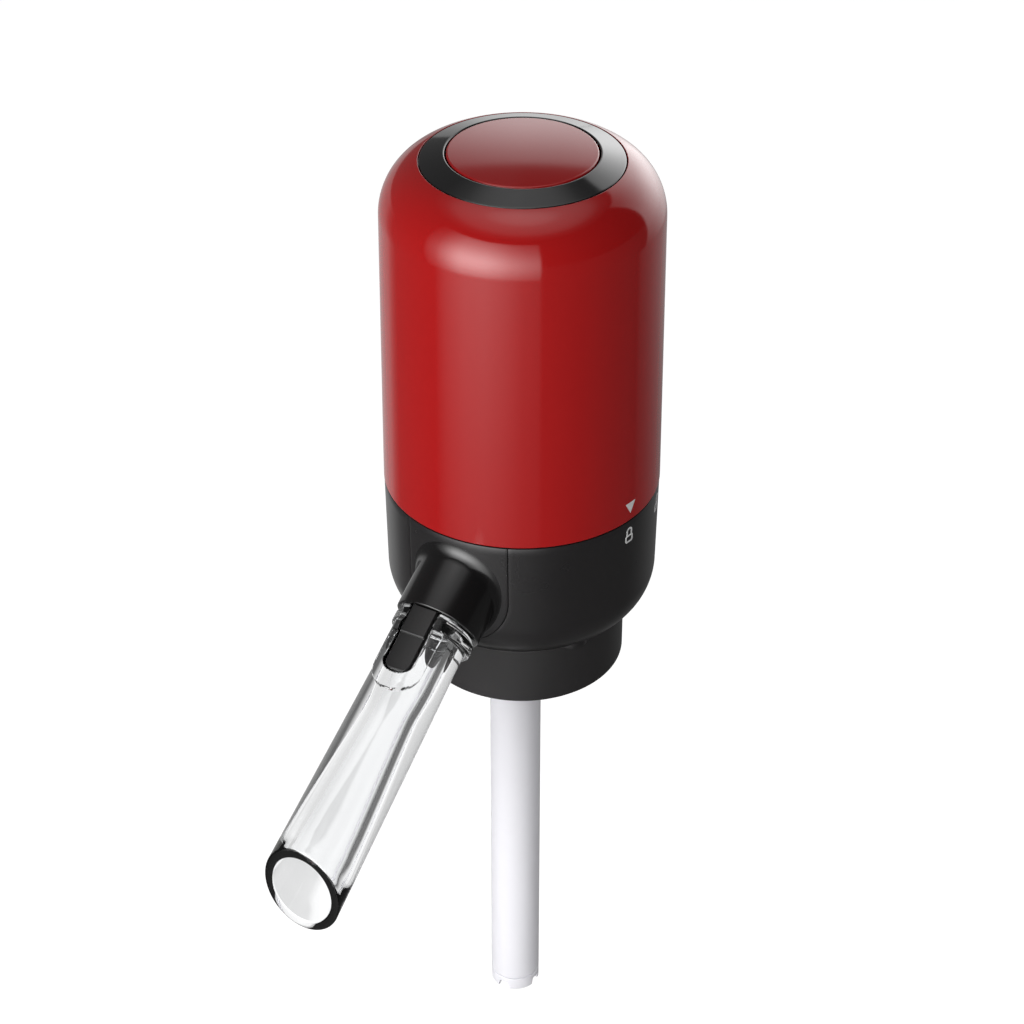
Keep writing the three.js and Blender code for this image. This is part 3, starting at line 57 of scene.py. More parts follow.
camera_data = bpy.data.cameras.new("camera")
camera_data.lens = 93.286
camera_data.sensor_width = 36
camera_data.clip_start = 0.01
camera = stand("camera", camera_data)
camera.location = (0.23947, -0.42584, 0.36224)
camera.rotation_euler = np.radians((55.432, 0, camera_turn))
bpy.context.scene.camera = camera
bpy.context.scene.view_settings.view_transform = "Standard"

# Studio: a white floor and backdrop, and a dark room on the camera's side. In gloss and through
# glass the floor shows painted reflections: glows and a dark patch laid out by azimuth. A key lamp
# stands in front to the left, a spot lights the dip tube, and three glowing cards, which only gloss
# shows, stand for soft boxes.
viewer_azimuth = np.radians(-90 + camera_turn)
floor_level = -0.2495


def set_sockets(node, **values):
    """Sets constants on a node's inputs, each named with an underscore for a space."""
    for socket, value in values.items():
        node.inputs[socket.replace("_", " ")].default_value = value


def plug(tree, source, socket):
    """Sets a number on a socket, or links another socket to it."""
    if isinstance(source, float):
        socket.default_value = source
    else:
        tree.links.new(source, socket)


def arithmetic(tree, operation, *values):
    """One Math node, with sockets linked and numbers set."""
    step = tree.nodes.new("ShaderNodeMath")
    step.operation = operation
    for socket, value in zip(step.inputs, values):
        plug(tree, value, socket)
    return step.outputs[0]


def graph(tree, value, pairs):
    """A brightness worked out from a value: straight lines between (value, brightness) pairs."""
    places, levels = np.array(pairs, float).T
    low, high, top = places[0], places[-1], levels.max()
    share = tree.nodes.new("ShaderNodeMapRange")
    set_sockets(share, From_Min=low, From_Max=high)
    tree.links.new(value, share.inputs["Value"])
    curve = tree.nodes.new("ShaderNodeFloatCurve")
    points = curve.mapping.curves[0].points
    for _ in pairs[2:]:
        points.new(0.5, 0.5)
    for point, place, level in zip(points, (places - low) / (high - low), levels / top):
        point.location = (place, level)
        point.handle_type = "VECTOR"
    curve.mapping.update()
    tree.links.new(share.outputs[0], curve.inputs["Value"])
    return arithmetic(tree, "MULTIPLY", curve.outputs[0], float(top))


def bearings(tree, direction):
    """Azimuth of a direction in degrees to the right of the camera, its distance from the upright
    axis, and its height: the arctangent, the length and the third coordinate."""
    turned_back = tree.nodes.new("ShaderNodeVectorRotate")
    turned_back.rotation_type = "Z_AXIS"
    set_sockets(turned_back, Angle=-viewer_azimuth)
    tree.links.new(direction, turned_back.inputs["Vector"])
    parts = tree.nodes.new("ShaderNodeSeparateXYZ")
    tree.links.new(turned_back.outputs[0], parts.inputs[0])
    azimuth = arithmetic(tree, "ARCTAN2", parts.outputs["Y"], parts.outputs["X"])
    squares = [arithmetic(tree, "POWER", parts.outputs[axis], 2.0) for axis in "XY"]
    distance = arithmetic(tree, "SQRT", arithmetic(tree, "ADD", *squares))
    return arithmetic(tree, "DEGREES", azimuth), distance, parts.outputs["Z"]


def by_ray(tree, seen, light, mirrored, through):
    """A brightness for each kind of ray: seen by the camera, as light, in gloss and through glass.
    It starts with light, and each ray's own flag mixes its value in."""
    ray = tree.nodes.new("ShaderNodeLightPath")
    value = light
    for flag, other in (
        ("Is Glossy Ray", mirrored),
        ("Is Transmission Ray", through),
        ("Is Camera Ray", seen),
    ):
        mixed = tree.nodes.new("ShaderNodeMix")
        tree.links.new(ray.outputs[flag], mixed.inputs[0])
        plug(tree, value, mixed.inputs[2])
        plug(tree, other, mixed.inputs[3])
        value = mixed.outputs[0]
    return value


world = bpy.data.worlds.new("white room")
world.use_nodes = True
bpy.context.scene.world = world
room = world.node_tree
backdrop = room.nodes["Background"]
set_sockets(backdrop, Color=(1, 1, 1, 1))
sky_direction = room.nodes.new("ShaderNodeTexCoord").outputs["Generated"]
sky_azimuth, _, sky_height = bearings(room, sky_direction)
sky_mirrored = arithmetic(
    room, "ADD",
    graph(room, sky_azimuth, (
        (-180, 0.15), (-165, 0.16), (-135, 0.14), (-90, 0.1), (-70, 0.08), (15, 0.04), (100, 0.03),
        (180, 0.1),
    )),
    graph(room, sky_height, (
        (-1, 0), (0.72, 0), (0.8, 0.15), (0.86, 0.6), (0.95, 1.0), (0.985, 1.7), (1, 1.9),
    )),
)
sky_through = graph(room, sky_azimuth, (
    (-180, 0.8), (-105, 0.76), (-92, 0.04), (-20, 0.03), (0, 0.08), (95, 0.1), (150, 0.4), (180, 0.8),
))
sky_light = graph(room, sky_azimuth, ((-180, 0.32), (-90, 0.28), (0, 0.32), (60, 0.42), (180, 0.38)))
room.links.new(by_ray(room, 1.0, sky_light, sky_mirrored, sky_through), backdrop.inputs["Strength"])

floor_mesh = bpy.data.meshes.new("floor")
reach = 30.0
floor_mesh.from_pydata(
    [(x, y, floor_level) for x, y in ((-reach, -reach), (reach, -reach), (reach, reach), (-reach, reach))],
    [],
    [(0, 1, 2, 3)],
)
floor = stand("floor", floor_mesh)
floor_white = bpy.data.materials.new("floor white")
floor_white.use_nodes = True
floor_tree = floor_white.node_tree
floor_paint = floor_tree.nodes["Principled BSDF"]
set_sockets(floor_paint, Roughness=0.9, Specular_IOR_Level=0, Emission_Color=(1, 1, 1, 1))
floor_place = floor_tree.nodes.new("ShaderNodeTexCoord").outputs["Object"]
floor_azimuth, floor_distance, _ = bearings(floor_tree, floor_place)
# Painted reflection: gloss sees the floor glow by azimuth, brightest behind to the left and dim elsewhere.
floor_gloss_glow = graph(floor_tree, floor_azimuth, (
    (-180, 0.4), (-172, 0.56), (-133, 0.54), (-126, 0.3), (-118, 0.13), (-90, 0.12), (-72, 0.09),
    (-60, 0.12), (14, 0.13), (45, 0.1), (60, 0.12), (90, 0.11), (104, 0.08), (180, 0.12),
))
# Painted reflection of soft boxes on the floor: a glow in front to the left and behind to the right, growing
# with distance out to 0.8 m.
card_glow = graph(floor_tree, floor_azimuth, (
    (-180, 0), (-72, 0), (-62, 2.5), (-45, 5.6), (-30, 6.4), (-15, 4.6), (0, 2.0), (13, 1.2), (15, 0),
    (102, 0), (106, 0.4), (127, 0.95), (150, 1.2), (165, 1.0), (178, 0.8), (180, 0),
))
glow_fall = graph(floor_tree, floor_distance, (
    (0, 0.03), (0.38, 0.05), (0.5, 0.115), (0.62, 0.2), (0.8, 0.34), (0.81, 0), (1, 0),
))
floor_mirrored = arithmetic(
    floor_tree, "ADD", floor_gloss_glow,
    arithmetic(floor_tree, "MULTIPLY", card_glow, glow_fall),
)
# Painted light seen through glass: the floor glows by azimuth, brightest behind and dim on the right.
floor_glass_glow = graph(floor_tree, floor_azimuth, (
    (-180, 1.12), (-165, 1.06), (-155, 1.0), (-145, 0.84), (-138, 0.77), (-60, 0.72), (0, 0.6), (70, 0.42),
    (84, 0.16), (118, 0.15), (126, 0.5), (138, 0.94), (165, 1.06), (180, 1.12),
))
# Painted shade seen through glass: a darker patch on the floor behind to the left, within about 0.33 m of
# the axis, that greys the spout's mouth.
painted_mouth_shade = arithmetic(
    floor_tree, "MULTIPLY",
    graph(floor_tree, floor_azimuth, (
        (-180, 0), (-166.5, 0), (-165, 0.2), (-155, 0.24), (-151, 0), (180, 0),
    )),
    graph(floor_tree, floor_distance, ((0, 1), (0.325, 1), (0.345, 0), (1, 0))),
)
floor_through = arithmetic(floor_tree, "SUBTRACT", floor_glass_glow, painted_mouth_shade)
# The camera sees the floor as a plain glowing white. Gloss and glass see only the painted glow, because the
# floor's colour is black for those rays.
floor_glow = by_ray(floor_tree, 0.7, 0.0, floor_mirrored, floor_through)
floor_tree.links.new(floor_glow, floor_paint.inputs["Emission Strength"])
floor_tree.links.new(by_ray(floor_tree, 0.8, 0.8, 0.0, 0.0), floor_paint.inputs["Base Color"])
floor_mesh.materials.append(floor_white)


def lamp(name, kind, watts, azimuth, distance, level, aim):
    """A lamp at a distance from the upright axis, turned to the axis at the aim's level. The azimuth
    is in degrees to the right of the camera, and neither camera nor gloss shows the lamp."""
    light = bpy.data.lights.new(name, kind)
    light.energy = watts
    shining = stand(name, light)
    turn = viewer_azimuth + np.radians(azimuth)
    shining.location = (distance * np.cos(turn), distance * np.sin(turn), level)
    shining.rotation_euler = (np.pi / 2 - np.arctan2(level - aim, distance), 0, turn + np.pi / 2)
    shining.visible_camera = shining.visible_glossy = False
    return light


key_light = lamp("key lamp", "AREA", 4.6, azimuth=-42, distance=0.8, level=0.2, aim=0.0)
key_light.size = 0.5
tube_light = lamp("tube lamp", "SPOT", 1.8, azimuth=-18, distance=0.5, level=-0.09, aim=-0.085)
tube_light.shadow_soft_size = 0.05
tube_light.spot_size, tube_light.spot_blend = np.radians(17), 0.5


def card(name, across, upwards):
    """A glowing card that only gloss shows, part of an upright drum round the decanter. Its
    brightness is a graph over the azimuth, times a graph over the level in metres."""
    distance, columns = 0.8, 25
    turn = viewer_azimuth + np.radians(np.linspace(across[0][0], across[-1][0], columns))
    rows = [
        np.stack((distance * np.cos(turn), distance * np.sin(turn), level + 0 * turn), 1)
        for level in (upwards[0][0], upwards[-1][0])
    ]
    sheet = bpy.data.meshes.new(name)
    quads = np.arange(columns - 1)[:, None] + (0, 1, columns + 1, columns)
    sheet.from_pydata(np.vstack(rows), [], quads.tolist())
    glow = bpy.data.materials.new(name)
    glow.use_nodes = True
    tree = glow.node_tree
    tree.nodes.remove(tree.nodes["Principled BSDF"])
    light = tree.nodes.new("ShaderNodeEmission")
    tree.links.new(light.outputs[0], tree.nodes["Material Output"].inputs["Surface"])
    azimuth, _, height = bearings(tree, tree.nodes.new("ShaderNodeTexCoord").outputs["Object"])
    if across[-1][0] > 180:
        azimuth = arithmetic(tree, "MODULO", arithmetic(tree, "ADD", azimuth, 360.0), 360.0)
    strength = arithmetic(tree, "MULTIPLY", graph(tree, azimuth, across), graph(tree, height, upwards))
    tree.links.new(strength, light.inputs["Strength"])
    sheet.materials.append(glow)
    shown = stand(name, sheet)
    shown.visible_camera = shown.visible_diffuse = shown.visible_shadow = shown.visible_transmission = False


card(
    "front left card",
    ((-80, 0), (-77, 0.5), (-68, 1.4), (-60, 3.8), (-48, 8.2), (-38, 9), (-28, 8.8), (-18, 7), (-8, 4.8),
     (2, 3.4), (13, 2.4), (14, 0)),
    ((-0.249, 0.34), (-0.15, 0.54), (-0.04, 0.75), (0.06, 0.93), (0.17, 1), (0.28, 0.85), (0.4, 0.62),
     (0.52, 0.44), (0.66, 0.3), (0.75, 0.22), (0.76, 0)),
)
card(
    "right rear card",
    ((108, 0), (110, 1.5), (118, 1.9), (127, 2.7), (142, 4.0), (150, 4.2), (162, 4.2), (172, 2.2),
     (172.1, 0)),
    ((-0.249, 0.16), (-0.15, 0.3), (-0.04, 0.5), (0.06, 0.76), (0.17, 0.95), (0.28, 1), (0.4, 0.85),
     (0.52, 0.68), (0.66, 0.5), (0.75, 0.4), (0.91, 0.3), (0.92, 0)),
)
card(
    "rear card",
    ((172.1, 1.3), (176, 1.05), (180, 1), (183, 0.85), (187, 0.55), (190, 0.4), (192, 0.35), (192.1, 0)),
    ((-0.249, 0.5), (-0.096, 0.9), (0.048, 1.3), (0.146, 1.6), (0.3, 2.2), (0.409, 2.6), (0.47, 2.0),
     (0.526, 1.35), (0.575, 0.95), (0.58, 0)),
)

# Upper housing: a cup of red ABS with a high gloss, 2 mm thick, with a round shoulder and a seat
# for the trim ring. Inside it has three lugs that turn into the deck's neck, and three bosses for
# the chassis's screws.
mm = 0.001
housing_foot, housing_foot_radius = 37.15, 30.5
housing_wall = 2.0
shoulder_level, shoulder_radius, shoulder_centre = 101.25, 13.0, 17.0
ring_hole_radius, ring_seat_depth, ring_seat_radius, ring_seat_thickness = 21.57, 3.0, 19.15, 2.6
ring_edge_level = shoulder_level + np.sqrt(shoulder_radius**2 - (ring_hole_radius - shoulder_centre) ** 2)


def arc(centre_radius, centre_level, radius, start, stop, steps):
    """Points on an arc as rows of (radius, level, 0), angles in degrees from straight out."""
    turn = np.radians(np.linspace(start, stop, steps + 1))
    rows = (centre_radius + radius * np.cos(turn), centre_level + radius * np.sin(turn), 0 * turn)
    return np.stack(rows, axis=1)


def outline(corners, closed=True, steps=4):
    """Straight runs with rounded corners. A corner is (radius, level, rounding). Each rounding is
    an arc tangent to both runs, with one support point on each run just beyond its end."""
    corners = np.array(corners, float)
    points = []
    for i, (x, y, rounding) in enumerate(corners):
        here = np.array((x, y))
        if rounding == 0 or (not closed and i in (0, len(corners) - 1)):
            points.append(here[None])
            continue
        back = corners[i - 1, :2] - here
        ahead = corners[(i + 1) % len(corners), :2] - here
        back_run, ahead_run = np.linalg.norm(back), np.linalg.norm(ahead)
        back, ahead = back / back_run, ahead / ahead_run
        half = np.arccos(np.clip(back @ ahead, -1, 1)) / 2
        cut = min(rounding / np.tan(half), 0.4 * back_run, 0.4 * ahead_run)
        middle = (back + ahead) / np.linalg.norm(back + ahead)
        centre = here + middle * cut / np.cos(half)
        first, last = here + back * cut - centre, here + ahead * cut - centre
        sweep = np.pi - 2 * half
        share = np.linspace(0, 1, steps + 1)[:, None]
        bow = (np.sin((1 - share) * sweep) * first + np.sin(share * sweep) * last) / np.sin(sweep)
        support = 1.3
        points.append(here + back * cut * support)
        points.append(centre + bow)
        points.append(here + ahead * cut * support)
    return np.vstack([np.atleast_2d(p) for p in points])


def turned(profile, sides, start=0.0, stop=360.0, centre=(0.0, 0.0)):
    """A profile of (radius, level) turned about an upright line: x = radius cos(azimuth),
    y = radius sin(azimuth). A full turn leaves out its last column, which is the first."""
    full = stop - start == 360
    azimuth = np.radians(np.linspace(start, stop, sides + (not full), endpoint=not full))
    radius, level = profile[:, :1], profile[:, 1:2]
    x = centre[0] + radius * np.cos(azimuth)
    y = centre[1] + radius * np.sin(azimuth)
    return np.stack((x, y, level + 0 * azimuth), axis=2)


def end_capped(grid):
    """A tube of closed sections with both ends drawn in to a point in the section's middle."""
    first = np.broadcast_to(grid[:, :1].mean(0), (len(grid), 1, 3))
    last = np.broadcast_to(grid[:, -1:].mean(0), (len(grid), 1, 3))
    return np.concatenate((first, grid, last), axis=1)


def faces_of(rows, columns, wrap_rows, wrap_columns, start):
    """Four-sided faces between neighbouring points of a grid, and over its seam where it wraps."""
    i = np.arange(rows if wrap_rows else rows - 1)
    j = np.arange(columns if wrap_columns else columns - 1)
    i, j = np.meshgrid(i, j, indexing="ij")
    i2, j2 = (i + 1) % rows, (j + 1) % columns
    corners = (i * columns + j, i * columns + j2, i2 * columns + j2, i2 * columns + j)
    return np.stack(corners, axis=-1).reshape(-1, 4) + start


def piece_from(name, *surfaces, sharp=38):
    """One object from grids in millimetres, each (grid, wrap rows, wrap columns). Points that meet
    are merged, which closes seams and poles, and faces are turned outwards."""
    vertices, faces, start = [], [], 0
    for grid, wrap_rows, wrap_columns in surfaces:
        rows, columns = grid.shape[:2]
        vertices.append(grid.reshape(-1, 3))
        faces.append(faces_of(rows, columns, wrap_rows, wrap_columns, start))
        start += rows * columns
    mesh = bpy.data.meshes.new(name)
    mesh.from_pydata(np.vstack(vertices) * mm, [], np.vstack(faces).tolist())
    edit = bmesh.new()
    edit.from_mesh(mesh)
    bmesh.ops.remove_doubles(edit, verts=edit.verts, dist=2e-7)
    bmesh.ops.dissolve_degenerate(edit, edges=edit.edges, dist=1e-7)
    bmesh.ops.recalc_face_normals(edit, faces=edit.faces)
    edit.to_mesh(mesh)
    edit.free()
    mesh.polygons.foreach_set("use_smooth", np.ones(len(mesh.polygons), bool))
    mesh.set_sharp_from_angle(angle=np.radians(sharp))
    return stand(name, mesh)


def moulded_skin():
    """Node group: fine grain of moulded plastic. Colour and roughness drift a little with a slow
    noise, and height is a fast noise."""
    group = bpy.data.node_groups.new("moulded skin", "ShaderNodeTree")
    for socket, kind, value in (
        ("Color", "NodeSocketColor", (0.5, 0.5, 0.5, 1)),
        ("Color Drift", "NodeSocketFloat", 0.05),
        ("Roughness", "NodeSocketFloat", 0.4),
        ("Roughness Drift", "NodeSocketFloat", 0.05),
        ("Grain Scale", "NodeSocketFloat", 2000.0),
    ):
        made = group.interface.new_socket(socket, in_out="INPUT", socket_type=kind)
        made.default_value = value
    group.interface.new_socket("Color", in_out="OUTPUT", socket_type="NodeSocketColor")
    group.interface.new_socket("Roughness", in_out="OUTPUT", socket_type="NodeSocketFloat")
    group.interface.new_socket("Height", in_out="OUTPUT", socket_type="NodeSocketFloat")
    nodes, links = group.nodes, group.links
    taken, given = nodes.new("NodeGroupInput"), nodes.new("NodeGroupOutput")
    place = nodes.new("ShaderNodeTexCoord")
    slow, fast = nodes.new("ShaderNodeTexNoise"), nodes.new("ShaderNodeTexNoise")
    set_sockets(slow, Scale=60, Detail=3)
    set_sockets(fast, Detail=2)
    links.new(taken.outputs["Grain Scale"], fast.inputs["Scale"])
    for noise in (slow, fast):
        links.new(place.outputs["Object"], noise.inputs["Vector"])
    swing = nodes.new("ShaderNodeMapRange")
    set_sockets(swing, To_Min=-1)
    links.new(slow.outputs[0], swing.inputs["Value"])
    for varied in ("Color", "Roughness"):
        amount = arithmetic(group, "MULTIPLY_ADD", swing.outputs[0], taken.outputs[varied + " Drift"], 1.0)
        scaled = nodes.new("ShaderNodeVectorMath")
        scaled.operation = "SCALE"
        links.new(taken.outputs[varied], scaled.inputs[0])
        links.new(amount, scaled.inputs["Scale"])
        links.new(scaled.outputs[0], given.inputs[varied])
    links.new(fast.outputs[0], given.inputs["Height"])
    return group


skin_group = moulded_skin()


def plastic(name, colour, roughness, grain=0.004, grain_scale=2200.0, drift=0.03, **sockets):
    """A moulded plastic: the grain is a bump of that many millimetres, and other sockets of the
    shader are given by name."""
    material = bpy.data.materials.new(name)
    material.use_nodes = True
    nodes, links = material.node_tree.nodes, material.node_tree.links
    shader = nodes["Principled BSDF"]
    skin = nodes.new("ShaderNodeGroup")
    skin.node_tree = skin_group
    set_sockets(
        skin, Color=(*colour, 1), Color_Drift=drift, Roughness=roughness, Roughness_Drift=2 * drift,
        Grain_Scale=grain_scale,
    )
    links.new(skin.outputs["Color"], shader.inputs["Base Color"])
    links.new(skin.outputs["Roughness"], shader.inputs["Roughness"])
    bump = nodes.new("ShaderNodeBump")
    set_sockets(bump, Strength=0.5, Distance=grain * mm)
    links.new(skin.outputs["Height"], bump.inputs["Height"])
    links.new(bump.outputs["Normal"], shader.inputs["Normal"])
    set_sockets(shader, **sockets)
    return material


replaced = set()


def fit(piece, body, slot, material, *nodes):
    """Gives a piece its material, the body it moves with and the solids it stands for. The slot is not used.
    """
    piece.data.materials.clear()
    piece.data.materials.append(material)
    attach(piece, body)
    if nodes:
        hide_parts(*nodes)
        replaced.update(nodes)


def spot_at(pitch, azimuth):
    """The point at a distance and an azimuth in degrees: (pitch cos, pitch sin)."""
    return pitch * np.cos(np.radians(azimuth)), pitch * np.sin(np.radians(azimuth))


glossy_red = plastic(
    "glossy red ABS", (0.43, 0.0085, 0.0088), 0.09, grain=0.0008, grain_scale=900, drift=0.02, IOR=1.48,
)
seat_level = ring_edge_level - ring_seat_depth
seat_under = seat_level - ring_seat_thickness
edge_margin = 1.6
hole_angle = np.degrees(np.arccos((ring_hole_radius - shoulder_centre) / shoulder_radius))
inner_shoulder = shoulder_radius - housing_wall
inner_angle = np.degrees(np.arcsin((seat_under - shoulder_level) / inner_shoulder))
housing_profile = outline(np.vstack((
    (housing_foot_radius - housing_wall, housing_foot, 0.2),
    (housing_foot_radius, housing_foot, 0.25),
    (housing_foot_radius - 0.02, housing_foot + 4, 0),
    arc(shoulder_centre, shoulder_level, shoulder_radius, 0, hole_angle - edge_margin, 28),
    (ring_hole_radius, ring_edge_level, 0.18),
    (ring_hole_radius, seat_level, 0.1),
    (ring_seat_radius, seat_level, 0.2),
    (ring_seat_radius, seat_under, 0.2),
    arc(shoulder_centre, shoulder_level, inner_shoulder, inner_angle, 0, 12),
)))
lug_azimuths = (30, 150, 270)
lug_half_angle, lug_low, lug_high, lug_reach, rib_half_angle = 4, 39.75, 41.75, 1.6, 3.2
boss_radius, boss_pitch, boss_low, boss_high, screw_hole = 3.0, 24.2, 46.15, 58.15, 1.4
housing_inner = housing_foot_radius - housing_wall
lug_section = outline((
    (housing_inner - lug_reach, lug_low, 0.25),
    (housing_inner + 1, lug_low, 0),
    (housing_inner + 1, lug_high, 0),
    (housing_inner - lug_reach, lug_high, 0.25),
))
screw_boss = outline((
    (screw_hole, boss_low, 0.2),
    (boss_radius, boss_low, 0.2),
    (boss_radius, boss_high, 0.2),
    (0, boss_high, 0),
    (0, boss_high - 1, 0),
    (screw_hole, boss_high - 1, 0),
))
rib_start, rib_stop = boss_pitch + 2, housing_inner + 1
rib_section = np.array((
    (rib_start, boss_low), (rib_stop, boss_low), (rib_stop, boss_high), (rib_start, boss_high)
))
housing_surfaces = [(turned(housing_profile, 192), True, True)]
for azimuth in lug_azimuths:
    lug = turned(lug_section, 6, azimuth - lug_half_angle, azimuth + lug_half_angle)
    rib = turned(rib_section, 2, azimuth - rib_half_angle, azimuth + rib_half_angle)
    housing_surfaces += [
        (end_capped(lug), True, False),
        (end_capped(rib), True, False),
        (turned(screw_boss, 24, centre=spot_at(boss_pitch, azimuth)), True, True),
    ]
housing = piece_from("housing_shell", *housing_surfaces)
fit(housing, "housing", "housing_red", glossy_red, "upper_housing")

# Trim ring: polished black plastic, pressed into the housing's seat. Its inner sleeve guides the
# button.
ring_outer, ring_inner, ring_rise, ring_edge, ring_seat_gap = 21.35, 16.03, 1.7, 0.3, 0.3
guide_wall, guide_depth = 1.3, 9.0
polished_black = plastic(
    "polished black", (0.0105, 0.0100, 0.0105), 0.1, grain=0.0004, grain_scale=900, IOR=1.6,
)
ring_profile = outline((
    (ring_outer, seat_level + ring_seat_gap, 0.1),
    (ring_outer, ring_edge_level, ring_edge),
    (ring_inner, ring_edge_level + ring_rise, ring_edge),
    (ring_inner, ring_edge_level - guide_depth, 0.3),
    (ring_inner + guide_wall, ring_edge_level - guide_depth, 0.2),
    (ring_inner + guide_wall, seat_level + ring_seat_gap, 0),
))
ring = piece_from("trim_ring", (turned(ring_profile, 160), True, True))
fit(ring, "housing", "trim_black", polished_black, "top_trim_ring")

# Power button: a shallow dome of the housing's red ABS with a skirt, a catch lip that stops it
# under the ring's sleeve, and a stem that stands on the switch.
button_radius, button_proud, button_dome, button_edge = 15.73, 1.7, 0.45, 0.35
button_roof, button_wall, stem_radius, stem_foot = 1.6, 1.3, 2.2, 107.05
lip_width, lip_height, lip_gap, dome_margin = 1.2, 1.6, 0.3, 1.2
button_top = ring_edge_level + button_proud
lip_top = ring_edge_level - guide_depth - lip_gap
dome_radius = np.linspace(0, button_radius - dome_margin, 12)
dome = np.stack((
    dome_radius,
    button_top + button_dome * (1 - (dome_radius / button_radius) ** 2),
    0 * dome_radius,
), axis=1)
button_profile = outline(np.vstack((
    dome,
    (button_radius, button_top, button_edge),
    (button_radius, lip_top, 0.1),
    (button_radius + lip_width, lip_top, 0.2),
    (button_radius + lip_width, lip_top - lip_height, 0.3),
    (button_radius - button_wall, lip_top - lip_height, 0.2),
    (button_radius - button_wall, button_top - button_roof, 0.6),
    (stem_radius, button_top - button_roof, 0.5),
    (stem_radius, stem_foot, 0.3),
    (0, stem_foot, 0),
)), closed=False)
button = piece_from("button_cap", (turned(button_profile, 160), False, True))
fit(button, "button", "housing_red", glossy_red, "power_button")

# Lower collar: a satin black ABS cup with a rounded foot and an upright window, rounded at the
# bottom, that opens to the top. Three posts inside take the deck's screws.
collar_floor, collar_top, collar_round_level, collar_rounding = 3.25, 36.85, 15.25, 12.0
collar_low_radius, collar_top_radius, collar_wall = 30.05, 30.4, 2.0
collar_round_centre = collar_low_radius - collar_rounding
window_half_width, window_centre = 12.3, 22.2
post_azimuths, post_pitch, post_radius, post_top, post_screw_depth = (90, 210, 330), 22.2, 3.2, 36.85, 9
air_offset, barb_radius, barb_height, air_bore = 6.0, 1.8, 4, 1.0
satin_black = plastic(
    "satin black ABS", (0.0160, 0.0147, 0.0153), 0.28, grain=0.006, grain_scale=2600, drift=0.04
)


def collar_radius(level):
    """The collar's outer radius: a quarter circle up to the round level, then a straight taper."""
    drop = np.clip(collar_round_level - level, 0, collar_rounding)
    foot = collar_round_centre + np.sqrt(collar_rounding**2 - drop**2)
    rise = np.clip((level - collar_round_level) / (collar_top - collar_round_level), 0, 1)
    return foot + (collar_top_radius - collar_low_radius) * rise


def window_angle(level, half_width):
    """Half the azimuth that the U-shaped window takes at a level: arcsin of its half width, a half
    circle below the window's centre, over the collar's radius."""
    below = np.clip(window_centre - level, 0, half_width)
    return np.degrees(np.arcsin(np.sqrt(half_width**2 - below**2) / collar_radius(level)))


def wall_sheet(levels, half_width, inside, columns):
    """The collar's outer face as a grid over level and azimuth: inside the window, or the rest."""
    angle = window_angle(levels, half_width)[:, None]
    share = np.linspace(0, 1, columns)
    start, span = (-90 - angle, 2 * angle) if inside else (-90 + angle, 360 - 2 * angle)
    azimuth = np.radians(start + span * share)
    radius = collar_radius(levels)[:, None]
    return np.stack((radius * np.cos(azimuth), radius * np.sin(azimuth), levels[:, None] + 0 * azimuth), 2)


def levels_from(low, half_width):
    """Levels of the wall's rows: even steps of angle round the foot and round the window's bottom."""
    foot = collar_round_level - collar_rounding * np.cos(np.radians(np.linspace(0, 90, 19)))
    bottom = window_centre - half_width * np.cos(np.radians(np.linspace(0, 90, 25)))
    wall = np.linspace(window_centre, collar_top, 9)
    levels = np.unique(np.round(np.concatenate((foot, bottom, wall)), 4))
    return levels[levels >= low - 1e-6]


def walled(piece, thickness, edge):
    """Gives a sheet its wall inwards, and rounds the wall's edges."""
    solidify = piece.modifiers.new("wall", "SOLIDIFY")
    solidify.thickness = thickness * mm
    solidify.offset = -1
    solidify.use_even_offset = True
    bevel = piece.modifiers.new("edges", "BEVEL")
    bevel.width = edge * mm
    bevel.segments = 2
    bevel.limit_method = "ANGLE"
    bevel.angle_limit = np.radians(50)


collar_levels = levels_from(collar_floor, window_half_width)
collar_sheet = wall_sheet(collar_levels, window_half_width, False, 181)
floor_rings = np.linspace(0, collar_round_centre, 5)[:-1, None]
around = np.radians(np.linspace(-90, 270, 181))
floor_sheet = np.stack(
    (floor_rings * np.cos(around), floor_rings * np.sin(around), collar_floor + 0 * floor_rings * around), 2
)
collar = piece_from("collar_shell", (np.vstack((floor_sheet, collar_sheet)), False, False))
walled(collar, collar_wall, 0.15)
fit(collar, "base", "collar_black", satin_black, "lower_collar")
post_profile = outline((
    (0, collar_floor + 1, 0),
    (post_radius, collar_floor + 1, 0),
    (post_radius, post_top, 0.3),
    (screw_hole, post_top, 0.2),
    (screw_hole, post_top - post_screw_depth, 0),
    (0, post_top - post_screw_depth, 0),
), closed=False)
barb_profile = outline((
    (air_bore, collar_floor + 1, 0),
    (barb_radius, collar_floor + 1, 0),
    (barb_radius, collar_floor + collar_wall + barb_height, 0.3),
    (air_bore, collar_floor + collar_wall + barb_height, 0.2),
))
posts = piece_from(
    "collar_posts",
    *[
        (turned(post_profile, 24, centre=spot_at(post_pitch, azimuth)), False, True)
        for azimuth in post_azimuths
    ],
    (turned(barb_profile, 20, centre=(0, air_offset)), True, True),
)
fit(posts, "base", "collar_black", satin_black)

# Spout carrier: a separate satin black moulding that fills the collar's window. A short, thick
# boss stands on it, square to the spout, and flares out where it meets the panel.
slope = np.radians(30)
spout_axis_level = 39.5
boss_outer, boss_mouth, boss_edge = 9.73, 42.7, 0.4
flare_top, flare_bottom, flare_sink = 2.3, 1.0, 0.03
root_sink, root_inset, back_inset = 1.2, 1, 2.3
socket_radius, socket_end, boss_back = 6.7, 31.5, 26.0
elbow_hole = 4.5
notch_half_turn, notch_low, notch_high, notch_depth = 21.0, 6.9, 8.5, 2.7
notch_blend, notch_clearance = 0.4, 0.5
panel_gap = 0.16


